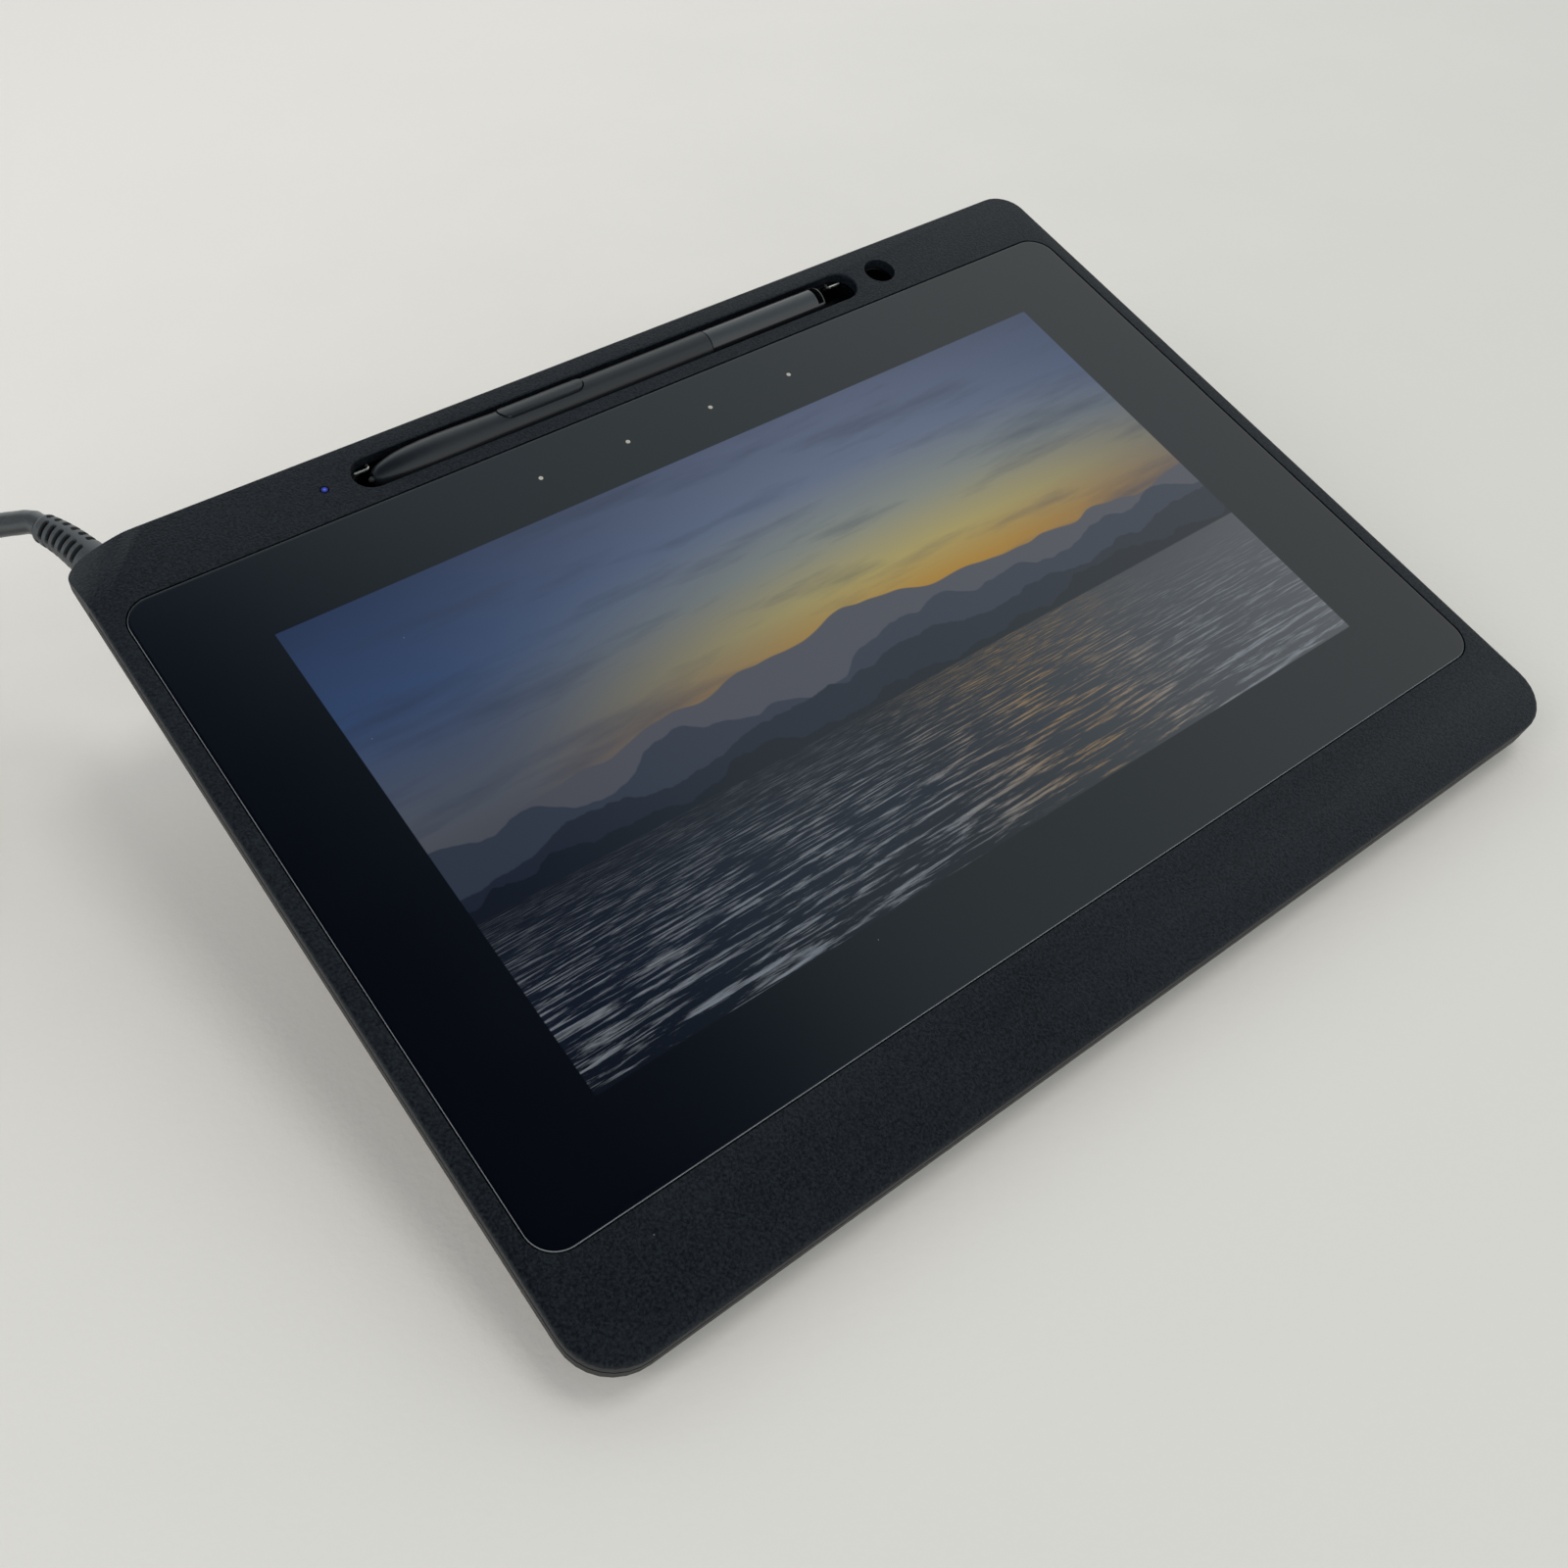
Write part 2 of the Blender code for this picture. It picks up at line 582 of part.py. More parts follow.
def plate(name, points, low, high, parent, material=None, turn=None):
    """A flat outline made thick: a filled 2D curve, extruded, then made one welded mesh."""
    curve = bpy.data.curves.new(name, "CURVE")
    curve.dimensions = "2D"
    curve.fill_mode = "BOTH"
    curve.extrude = (high - low) / 2.0
    spline = curve.splines.new("POLY")
    spline.points.add(len(points) - 1)
    for point, (x, y) in zip(spline.points, points):
        point.co = (x, y, 0.0, 1.0)
    spline.use_cyclic_u = True
    source = bpy.data.objects.new(name + "_outline", curve)
    PARTS.objects.link(source)
    mesh = welded_mesh(source, name)
    item = mesh_object(name, mesh, parent, material, cutter=material is None)
    item.location = (0.0, 0.0, (high + low) / 2.0)
    if turn:
        item.rotation_euler = turn
    return item


def welded_mesh(source, name):
    """The evaluated mesh of a curve, its caps welded and its flat faces joined."""
    graph = bpy.context.evaluated_depsgraph_get()
    mesh = bpy.data.meshes.new_from_object(source.evaluated_get(graph))
    mesh.name = name
    shape = bmesh.new()
    shape.from_mesh(mesh)
    bmesh.ops.remove_doubles(shape, verts=shape.verts, dist=LAYER_GAP / 10.0)
    bmesh.ops.dissolve_limit(
        shape, angle_limit=math.radians(0.5), verts=shape.verts, edges=shape.edges
    )
    shape.to_mesh(mesh)
    shape.free()
    bpy.data.objects.remove(source, do_unlink=True)
    return mesh


def ring(points, height):
    """Lift an outline to a height, or onto a surface given as a function of X and Y."""
    if callable(height):
        return [(x, y, height(x, y)) for x, y in points]
    return [(x, y, height) for x, y in points]


def stack(name, rings, parent, material=None):
    """A closed solid lofted through outlines of equal count, lowest first."""
    shape = bmesh.new()
    rows = [[shape.verts.new(point) for point in outline] for outline in rings]
    for lower, upper in zip(rows, rows[1:]):
        for index in range(len(lower)):
            follow = (index + 1) % len(lower)
            shape.faces.new((lower[index], lower[follow], upper[follow], upper[index]))
    shape.faces.new(list(reversed(rows[0])))
    shape.faces.new(rows[-1])
    return from_bmesh(name, shape, parent, material, cutter=material is None)


def turned(name, profile, parent, material=None, steps=ROUND_STEPS, closed=False):
    """A solid of revolution about Z from (radius, height) pairs, outer side first and downwards."""
    shape = bmesh.new()
    corners = [shape.verts.new((radius, 0.0, height)) for radius, height in profile]
    for first, second in zip(corners, corners[1:]):
        shape.edges.new((first, second))
    if closed:
        shape.edges.new((corners[-1], corners[0]))
    item = from_bmesh(name, shape, parent, material, cutter=material is None)
    modifier = item.modifiers.new("Turned profile", "SCREW")
    modifier.steps = steps
    modifier.render_steps = steps
    modifier.use_smooth_shade = True
    modifier.use_merge_vertices = True
    modifier.merge_threshold = LAYER_GAP / 100.0
    return item


def tube(name, points, radius, parent, material, resolution, shares=None):
    """A round tube along points, with filled caps; shares scale the radius point by point."""
    curve = bpy.data.curves.new(name, "CURVE")
    curve.dimensions = "3D"
    curve.bevel_depth = radius
    curve.bevel_resolution = resolution
    curve.use_fill_caps = True
    spline = curve.splines.new("POLY")
    spline.points.add(len(points) - 1)
    for index, point in enumerate(points):
        spline.points[index].co = (*point, 1.0)
        if shares is not None:
            spline.points[index].radius = shares[index]
    item = bpy.data.objects.new(name, curve)
    return place(item, parent, material, PARTS if material else CUTTERS)


def tube_mesh(name, points, radius, parent, material, resolution, shares=None):
    """The same tube as one welded mesh, for a piece that is cut."""
    source = tube(name + "_path", points, radius, None, material, resolution, shares)
    mesh = welded_mesh(source, name)
    item = bpy.data.objects.new(name, mesh)
    (PARTS if material else CUTTERS).objects.link(item)
    item.parent = parent
    return item


# Curves in space


def smooth_route(knots, spacing):
    """Points at an even spacing on a Catmull-Rom curve through the knots."""
    knots = np.array(knots, dtype=float)
    ends = np.vstack((2.0 * knots[0] - knots[1], knots, 2.0 * knots[-1] - knots[-2]))
    shares = np.linspace(0.0, 1.0, 24, endpoint=False)[:, None]
    spans = []
    for before, start, stop, after in zip(ends, ends[1:], ends[2:], ends[3:]):
        spans.append(0.5 * (
            2.0 * start + (stop - before) * shares
            + (2.0 * before - 5.0 * start + 4.0 * stop - after) * shares ** 2
            + (3.0 * start - before - 3.0 * stop + after) * shares ** 3
        ))
    dense = np.vstack(spans + [knots[-1:]])
    return even_points(dense, spacing)


def even_points(dense, spacing):
    """Points an even distance apart on a dense line, with both of its ends."""
    lengths = np.r_[0.0, np.cumsum(np.linalg.norm(np.diff(dense, axis=0), axis=1))]
    count = max(2, int(round(lengths[-1] / spacing)) + 1)
    places = np.linspace(0.0, lengths[-1], count)
    return np.column_stack([np.interp(places, lengths, dense[:, axis]) for axis in range(3)])


def line_length(points):
    """Length of a line through points."""
    return float(np.linalg.norm(np.diff(np.array(points), axis=0), axis=1).sum())


def on_table(point):
    """A point of the case frame, in the frame of the table."""
    return CASE_TO_TABLE @ Vector(point)


def direction_on_table(direction):
    """A direction of the case frame, in the frame of the table."""
    return (CASE_TO_TABLE.to_3x3() @ Vector(direction)).normalized()


# Case outlines


def case_ring(inset, height):
    """The outline of the case, drawn in by an inset, at a height."""
    return ring(rounded_rectangle(
        CASE_WIDTH - 2.0 * inset, CASE_DEPTH - 2.0 * inset,
        FRONT_CORNER_RADIUS - inset, REAR_CORNER_RADIUS - inset,
        lead_radius=LEAD_CORNER_RADIUS - inset,
    ), height)


def body_floor_ring(inset, height):
    """The outline of the body's floor, drawn in by an inset, at a height."""
    front = FRONT_SLOPE_INSET + inset
    rear = BODY_REAR_INSET + inset
    return ring(rounded_rectangle(
        CASE_WIDTH - 2.0 * (BODY_SIDE_INSET + inset), CASE_DEPTH - front - rear,
        BODY_FRONT_RADIUS - inset, BODY_REAR_RADIUS - inset, (front - rear) / 2.0,
    ), height)


def glass_outline(growth):
    """The outline of the glass, grown by an amount all round."""
    return rounded_rectangle(
        GLASS_WIDTH + 2.0 * growth, GLASS_DEPTH + 2.0 * growth,
        GLASS_CORNER_RADIUS + growth, GLASS_CORNER_RADIUS + growth, GLASS_MIDDLE_Y,
    )


def plain_outline(width, depth, radius, middle_y):
    """A rectangle with four equal corners of few facets."""
    return rounded_rectangle(width, depth, radius, radius, middle_y, PLAIN_CORNER_STEPS)


def slot_outline(growth):
    """The outline of the tray slot, grown by an amount all round."""
    return stadium(SLOT_LENGTH + 2.0 * growth, SLOT_WIDTH + 2.0 * growth, 0.0, TRAY_Y)


def bay_box(name, growth, low, high, parent):
    """The rear left corner region, as a cutter, grown by an amount."""
    size_x = BAY_WIDTH + growth + OVERRUN
    size_y = BAY_DEPTH + growth + OVERRUN
    middle = (
        -CASE_WIDTH / 2.0 - OVERRUN + size_x / 2.0,
        CASE_DEPTH / 2.0 + OVERRUN - size_y / 2.0,
        (low + high) / 2.0,
    )
    return box(name, (size_x, size_y, high - low), middle, parent)


def relief_frame():
    """Where the lead crosses the rear wall and the way it points, in the case frame."""
    exit_point = Vector((RELIEF_EXIT_X, CASE_DEPTH / 2.0, -RELIEF_AXIS_DEPTH))
    direction = Vector((-math.sin(RELIEF_TURN), math.cos(RELIEF_TURN), 0.0))
    return exit_point, direction


def relief_bore(name, frame):
    """The channel through the corner for the neck of the strain relief, as a cutter."""
    exit_point, direction = relief_frame()
    length = BAY_DEPTH + BAY_WIDTH
    middle = exit_point - direction * (length / 2.0 - 2.0 * OVERRUN)
    return cylinder(
        name, RELIEF_NECK_RADIUS + FIT_GAP, -length / 2.0, length / 2.0, middle, frame,
        turn=direction.to_track_quat("Z", "Y").to_euler(),
    )


def table_plane(height):
    """Height in the case frame of a level plane that lies above the table."""
    def surface(x, y):
        return (height - GLASS_HEIGHT - y * math.sin(TILT)) / math.cos(TILT)
    return surface


def case_screw_places():
    """X, Y and the height of the outer face under each case screw."""
    front_y = -CASE_DEPTH / 2.0 + CASE_SCREW_FRONT_SETBACK
    slope = table_plane(UNDERSIDE_HEIGHT)(0.0, front_y)
    places = []
    for x in (CASE_SCREW_FRONT_X, CASE_SCREW_FRONT_X / 3.0):
        places.append((-x, front_y, slope))
        places.append((x, front_y, slope))
    rear_y = CASE_DEPTH / 2.0 - CASE_SCREW_REAR_SETBACK
    places.append((-CASE_SCREW_REAR_X, rear_y, -BODY_DEPTH))
    places.append((CASE_SCREW_REAR_X, rear_y, -BODY_DEPTH))
    return places


def mount_places():
    """X and Y of the four fixings of the stand."""
    return [
        (side * MOUNT_PITCH / 2.0, MOUNT_MIDDLE_Y + row * MOUNT_PITCH / 2.0)
        for row in (-1.0, 1.0) for side in (-1.0, 1.0)
    ]


# Case


def build_top_cover(frame):
    """Frame round the glass, with a rounded top edge and a corner that droops over the lead."""
    steps = 4
    rings = [case_ring(0.0, -PART_LINE_DEPTH)]
    for step in range(steps + 1):
        angle = math.pi / 2.0 * step / steps
        inset = EDGE_RADIUS * (1.0 - math.cos(angle))
        rings.append(case_ring(inset, EDGE_RADIUS * (math.sin(angle) - 1.0)))
    cover = stack("top_cover", rings, frame, "textured_abs")

    cavity = stack("top_cavity", [
        case_ring(TOP_WALL, -PART_LINE_DEPTH - OVERRUN), case_ring(TOP_WALL, -TOP_SKIN)
    ], frame)
    cut(cavity, bay_box("top_cavity_corner", 0.0, -BODY_DEPTH, OVERRUN, frame))
    cut(cover, cavity)

    corner_low = -RIM_HEIGHT
    corner = stack("corner_block", [
        case_ring(RIM_CHAMFER, corner_low), case_ring(0.0, corner_low + RIM_CHAMFER),
        case_ring(0.0, -TOP_SKIN),
    ], frame)
    keep_inside(corner, bay_box("corner_region", 0.0, -BODY_DEPTH, OVERRUN, frame))
    join(cover, corner)
    for index, (x, y, _) in enumerate(case_screw_places(), 1):
        join(cover, cylinder(
            "top_boss_%d" % index, BOSS_RADIUS, -BOSS_SPLIT_DEPTH, -TOP_SKIN + TOP_WALL / 2.0,
            (x, y, 0.0), frame, steps=SMALL_ROUND_STEPS,
        ))

    cut(cover, plate("glass_recess", glass_outline(GLASS_SIDE_GAP), -RECESS_DEPTH, OVERRUN, frame))
    opening = plain_outline(
        GLASS_WIDTH - 2.0 * LEDGE_WIDTH, GLASS_DEPTH - 2.0 * LEDGE_WIDTH, EDGE_RADIUS,
        GLASS_MIDDLE_Y,
    )
    cut(cover, plate("glass_opening", opening, -TOP_SKIN - OVERRUN, 0.0, frame))
    slot_low = -TOP_SKIN - OVERRUN
    cut(cover, stack("tray_slot", [
        ring(slot_outline(0.0), slot_low), ring(slot_outline(0.0), -SLOT_EDGE),
        ring(slot_outline(SLOT_EDGE), 0.0), ring(slot_outline(SLOT_EDGE), OVERRUN),
    ], frame))
    cut(cover, cylinder("pen_hole", HOLE_RADIUS, slot_low, OVERRUN, (HOLE_X, TRAY_Y, 0.0), frame))
    lens_hole = STATUS_LENS_RADIUS + FIT_GAP
    cut(cover, cylinder(
        "lens_hole", lens_hole, slot_low, OVERRUN, (STATUS_X, TRAY_Y, 0.0), frame,
        steps=SMALL_ROUND_STEPS,
    ))
    for index, (x, y, _) in enumerate(case_screw_places(), 1):
        cut(cover, cylinder(
            "pilot_hole_%d" % index, SCREW_SHANK_RADIUS + FIT_GAP, -BOSS_SPLIT_DEPTH - OVERRUN,
            FIT_GAP - SCREW_TOP_DEPTH, (x, y, 0.0), frame, steps=SMALL_ROUND_STEPS,
        ))
    cut(cover, relief_bore("corner_bore", frame), corner_droop(frame))
    cut(cover, cylinder(
        "cover_screw_pilot", SCREW_SHANK_RADIUS + FIT_GAP, -RIM_HEIGHT - OVERRUN,
        -TOP_SKIN, cover_screw_place(), frame, steps=SMALL_ROUND_STEPS,
    ))
    return cover


def cover_screw_place():
    """Where the one screw of the cable cover stands."""
    return (
        BAY_WIDTH - CASE_WIDTH / 2.0 - BOSS_RADIUS, CASE_DEPTH / 2.0 - BAY_DEPTH + BOSS_RADIUS, 0.0
    )


def corner_droop(frame):
    """What lies above the corner's bend: a block less a roller laid across the corner."""
    inward = Vector((1.0, -1.0, 0.0)).normalized()
    corner = Vector((-CASE_WIDTH / 2.0, CASE_DEPTH / 2.0, 0.0))
    round_off = LEAD_CORNER_RADIUS * (math.sqrt(2.0) - 1.0)
    start = corner + inward * (round_off + DROOP_START)
    length = 2.0 * (BAY_WIDTH + BAY_DEPTH)
    turn = math.radians(-45.0)
    block_size = 2.0 * DROOP_START
    block = box(
        "corner_droop", (block_size, length, block_size),
        start - inward * (block_size / 2.0), frame, turn=(0.0, 0.0, turn),
    )
    roller = cylinder(
        "droop_roller", DROOP_RADIUS, -length, length, start - Vector((0.0, 0.0, DROOP_RADIUS)),
        frame, steps=3 * ROUND_STEPS, turn=(math.pi / 2.0, 0.0, turn),
    )
    cut(block, roller)
    return block


def build_bottom_cover(frame):
    """Dished shell below the rim; its front slope lies level on the table."""
    tongue_top = -(PART_LINE_DEPTH + FIT_GAP)
    rim_top = -(PART_LINE_DEPTH + PART_LINE_GAP)
    cover = stack("bottom_cover", [
        body_floor_ring(0.0, -BODY_DEPTH),
        case_ring(RIM_STEP, -RIM_HEIGHT),
        case_ring(RIM_CHAMFER, -RIM_HEIGHT),
        case_ring(0.0, RIM_CHAMFER - RIM_HEIGHT),
        case_ring(0.0, rim_top),
        case_ring(PART_LINE_INSET, rim_top),
        case_ring(PART_LINE_INSET, tongue_top),
    ], frame, "underside_abs")
    cavity = stack("bottom_cavity", [
        body_floor_ring(BODY_WALL, BODY_FLOOR),
        case_ring(TOP_WALL, BODY_WALL - RIM_HEIGHT),
        case_ring(TOP_WALL, OVERRUN),
    ], frame)
    cut(cover, cavity)
    for index, (x, y, floor) in enumerate(case_screw_places(), 1):
        post_top = -(BOSS_SPLIT_DEPTH + FIT_GAP)
        join(cover, cylinder(
            "screw_post_%d" % index, BOSS_RADIUS + BODY_WALL / 2.0, floor + BODY_WALL / 2.0,
            post_top, (x, y, 0.0), frame, steps=SMALL_ROUND_STEPS,
        ))
    for index, (x, y) in enumerate(mount_places(), 1):
        join(cover, cylinder(
            "insert_boss_%d" % index, INSERT_BOSS_RADIUS, BODY_FLOOR - BODY_WALL / 2.0,
            -INSERT_BOSS_TOP_DEPTH, (x, y, 0.0), frame, steps=SMALL_ROUND_STEPS,
        ))
    for index, (x, y) in enumerate(standoff_places(), 1):
        join(cover, cylinder(
            "standoff_%d" % index, STANDOFF_RADIUS, BODY_FLOOR - BODY_WALL / 2.0,
            MAIN_BOARD_BOTTOM - FIT_GAP, (x, y, 0.0), frame, steps=SMALL_ROUND_STEPS,
        ))
    for index, (x, y, floor) in enumerate(case_screw_places(), 1):
        head_top = floor + SCREW_RECESS + SCREW_HEAD_HEIGHT
        cut(cover, cylinder(
            "screw_sink_%d" % index, SCREW_HEAD_RADIUS + FIT_GAP, floor - OVERRUN,
            head_top + FIT_GAP, (x, y, 0.0), frame, steps=SMALL_ROUND_STEPS,
        ))
        cut(cover, cylinder(
            "screw_hole_%d" % index, SCREW_SHANK_RADIUS + FIT_GAP, floor, 0.0,
            (x, y, 0.0), frame, steps=SMALL_ROUND_STEPS,
        ))
    for index, (x, y) in enumerate(mount_places(), 1):
        cut(cover, cylinder(
            "insert_hole_%d" % index, INSERT_RADIUS + FIT_GAP, -BODY_DEPTH - OVERRUN,
            OVERRUN - INSERT_BOSS_TOP_DEPTH, (x, y, 0.0), frame, steps=SMALL_ROUND_STEPS,
        ))
    cut(cover, bay_box("cable_bay", FIT_GAP, -BODY_DEPTH - OVERRUN, OVERRUN, frame))
    button_size = (
        BUTTON_LENGTH + 2.0 * FIT_GAP, 2.0 * (TOP_WALL + BODY_REAR_INSET),
        BUTTON_HEIGHT + 2.0 * FIT_GAP,
    )
    button_middle = (BUTTON_X, CASE_DEPTH / 2.0, -BUTTON_DEPTH)
    cut(cover, box("button_hole", button_size, button_middle, frame))
    lock_size = (LOCK_SLOT_WIDTH, 2.0 * (TOP_WALL + BODY_REAR_INSET), LOCK_SLOT_HEIGHT)
    cut(cover, box("lock_slot", lock_size, (LOCK_X, CASE_DEPTH / 2.0, -LOCK_DEPTH), frame))
    return cover


def standoff_places():
    """X and Y of the posts under the corners of the main board."""
    half_x = MAIN_BOARD_LENGTH / 2.0 - STANDOFF_INSET
    half_y = MAIN_BOARD_DEPTH / 2.0 - STANDOFF_INSET
    return [
        (MAIN_BOARD_X + side * half_x, MAIN_BOARD_Y + row * half_y)
        for row in (-1.0, 1.0) for side in (-1.0, 1.0)
    ]


def build_cable_cover(frame):
    """Lid under the rear left corner, which clamps the neck of the strain relief."""
    top = -(RIM_HEIGHT + FIT_GAP)
    cover = stack("cable_cover", [
        case_ring(BAY_COVER_INSET + EDGE_RADIUS, -BAY_COVER_DEPTH),
        case_ring(BAY_COVER_INSET, EDGE_RADIUS - BAY_COVER_DEPTH),
        case_ring(RIM_STEP, top),
    ], frame, "underside_abs")
    keep_inside(cover, bay_box("cable_cover_region", 0.0, -2.0 * BODY_DEPTH, OVERRUN, frame))
    place_x, place_y, _ = cover_screw_place()
    cut(cover, relief_bore("cover_bore", frame))
    head_top = SCREW_RECESS + SCREW_HEAD_HEIGHT - BAY_COVER_DEPTH
    cut(cover, cylinder(
        "cover_screw_sink", SCREW_HEAD_RADIUS + FIT_GAP, -BAY_COVER_DEPTH - OVERRUN,
        head_top + FIT_GAP, (place_x, place_y, 0.0), frame, steps=SMALL_ROUND_STEPS,
    ))
    cut(cover, cylinder(
        "cover_screw_hole", SCREW_SHANK_RADIUS + FIT_GAP, -BAY_COVER_DEPTH, 0.0,
        (place_x, place_y, 0.0), frame, steps=SMALL_ROUND_STEPS,
    ))
    return cover


def screw(name, shank_radius, head_radius, head_height, socket_radius, low, top, place, frame):
    """A pan-head screw that stands with its head down."""
    head_top = low + head_height
    edge = head_height / 4.0
    profile = (
        (0.0, top), (shank_radius, top), (shank_radius, head_top), (head_radius, head_top),
        (head_radius, low + edge),
        (head_radius - edge, low), (socket_radius, low), (socket_radius, low + head_height / 2.0),
        (0.0, low + head_height / 2.0),
    )
    item = turned(name, profile, frame, "steel", steps=SCREW_STEPS)
    item.location = place
    return item


def build_screws(frame):
    """Six case screws, the cable cover's screw and the four screws of the stand."""
    for index, (x, y, floor) in enumerate(case_screw_places(), 1):
        screw(
            "case_screw_%d" % index, SCREW_SHANK_RADIUS, SCREW_HEAD_RADIUS, SCREW_HEAD_HEIGHT,
            SCREW_SOCKET_RADIUS, floor + SCREW_RECESS, -SCREW_TOP_DEPTH, (x, y, 0.0), frame,
        )
    screw(
        "cable_cover_screw", SCREW_SHANK_RADIUS, SCREW_HEAD_RADIUS, SCREW_HEAD_HEIGHT,
        SCREW_SOCKET_RADIUS, SCREW_RECESS - BAY_COVER_DEPTH, -TOP_SKIN - FIT_GAP,
        cover_screw_place(), frame,
    )
    web_low = -(BODY_DEPTH + FIT_GAP + MOUNT_WEB)
    for index, (x, y) in enumerate(mount_places(), 1):
        screw(
            "stand_screw_%d" % index, MOUNT_SCREW_RADIUS, MOUNT_HEAD_RADIUS, MOUNT_HEAD_HEIGHT,
            MOUNT_SOCKET_RADIUS, web_low - FIT_GAP - MOUNT_HEAD_HEIGHT,
            -INSERT_BOSS_TOP_DEPTH - FIT_GAP, (x, y, 0.0), frame,
        )


def build_inserts(frame):
    """Brass inserts for the stand, in their bosses."""
    low = FIT_GAP - BODY_DEPTH
    high = low + INSERT_LENGTH
    bore = MOUNT_SCREW_RADIUS + FIT_GAP
    for index, (x, y) in enumerate(mount_places(), 1):
        profile = ((INSERT_RADIUS, high), (INSERT_RADIUS, low), (bore, low), (bore, high))
        item = turned(
            "mount_insert_%d" % index, profile, frame, "brass", steps=SMALL_ROUND_STEPS, closed=True
        )
        item.location = (x, y, 0.0)


# Glass, screen and boards


def build_glass_and_screen(frame):
    """Glass, its gasket and the display module behind it."""
    glass = plate("cover_glass", glass_outline(0.0), -GLASS_THICKNESS, 0.0, frame, "etched_glass")
    bevel_edges(glass, GLASS_BEVEL, segments=1)
    gasket_top = -(GLASS_THICKNESS + LAYER_GAP)
    gasket = plate(
        "glass_gasket", glass_outline(-GASKET_INSET), gasket_top - GASKET_THICKNESS, gasket_top,
        frame, "foam",
    )
    gasket_hole = glass_outline(-GASKET_INSET - GASKET_WIDTH)
    cut(gasket, plate("gasket_hole", gasket_hole, -RECESS_DEPTH - OVERRUN, OVERRUN, frame))
    corner = EDGE_RADIUS
    panel = plain_outline(PANEL_WIDTH, PANEL_DEPTH, corner, PANEL_MIDDLE_Y)
    plate("lcd_panel", panel, PANEL_BOTTOM, PANEL_TOP, frame, "screen_panel")
    plate("backlight_unit", panel, BACKLIGHT_BOTTOM, BACKLIGHT_TOP, frame, "light_guide")
    frame_outline = plain_outline(
        PANEL_FRAME_WIDTH, PANEL_FRAME_DEPTH, corner + FIT_GAP + PANEL_FRAME_WALL, PANEL_MIDDLE_Y
    )
    hole_outline = plain_outline(
        PANEL_WIDTH + 2.0 * FIT_GAP, PANEL_DEPTH + 2.0 * FIT_GAP, corner + FIT_GAP, PANEL_MIDDLE_Y
    )
    surround = plate(
        "panel_frame", frame_outline, BACKLIGHT_BOTTOM - LAYER_GAP, PANEL_TOP, frame, "zinc_sheet"
    )
    cut(surround, plate("panel_hole", hole_outline, -BODY_DEPTH, OVERRUN, frame))
    sensor = plain_outline(SENSOR_WIDTH, SENSOR_DEPTH, corner, PANEL_MIDDLE_Y)
    plate("digitizer_board", sensor, SENSOR_BOTTOM, SENSOR_TOP, frame, "circuit_board")
    plate("shield_plate", sensor, SHIELD_BOTTOM, SHIELD_TOP, frame, "zinc_sheet")


def build_keys(frame):
    """Touch key board with one light guide under each mark."""
    board = plain_outline(KEY_BOARD_LENGTH, KEY_BOARD_DEPTH, EDGE_RADIUS, KEY_BOARD_MIDDLE_Y)
    board_low = SMALL_BOARD_TOP - BOARD_THICKNESS
    plate("key_board", board, board_low, SMALL_BOARD_TOP, frame, "circuit_board")
    first = KEY_MIDDLE_X - KEY_PITCH * (KEY_COUNT - 1) / 2.0
    for index in range(KEY_COUNT):
        cylinder(
            "key_light_%d" % (index + 1), KEY_LIGHT_RADIUS, SMALL_BOARD_TOP + LAYER_GAP,
            -GLASS_THICKNESS - LAYER_GAP, (first + index * KEY_PITCH, KEY_Y, 0.0), frame,
            "pale_lens", steps=SMALL_ROUND_STEPS,
        )


def build_status_light(frame):
    """Status board under the rear band, its lens, and the switch that the button presses."""
    board_low = SMALL_BOARD_TOP - BOARD_THICKNESS
    board = box(
        "status_board", (STATUS_BOARD_LENGTH, STATUS_BOARD_DEPTH, BOARD_THICKNESS),
        (STATUS_BOARD_X, TRAY_Y, (board_low + SMALL_BOARD_TOP) / 2.0), frame, "circuit_board",
    )
    board_rear = TRAY_Y + STATUS_BOARD_DEPTH / 2.0
    block_high = board_low + CHIP_SINK
    block_low = board_low - SWITCH_BLOCK_HEIGHT
    join(board, box(
        "switch_block", (SWITCH_BLOCK_LENGTH, SWITCH_BLOCK_DEPTH, block_high - block_low),
        (BUTTON_X, board_rear - SWITCH_BLOCK_DEPTH / 2.0 + CHIP_SINK,
         (block_high + block_low) / 2.0), frame,
    ))
    cylinder(
        "status_lens", STATUS_LENS_RADIUS, SMALL_BOARD_TOP + LAYER_GAP, 0.0,
        (STATUS_X, TRAY_Y, 0.0), frame, "blue_lens", steps=SMALL_ROUND_STEPS,
    )


def build_power_button(frame):
    """Button in the rear wall, with its origin where its slide starts."""
    wall_face = CASE_DEPTH / 2.0 - BUTTON_RECESS
    inner_end = TRAY_Y + STATUS_BOARD_DEPTH / 2.0 + CHIP_SINK + BUTTON_TRAVEL + LAYER_GAP
    origin = bpy.data.objects.new("power_button_slide", None)
    place(origin, frame, None)
    origin.location = (BUTTON_X, wall_face, -BUTTON_DEPTH)
    length = wall_face - inner_end
    button = box(
        "power_button", (BUTTON_LENGTH, length, BUTTON_HEIGHT), (0.0, -length / 2.0, 0.0),
        origin, "gloss_abs",
    )
    bevel_edges(button, BUTTON_EDGE)


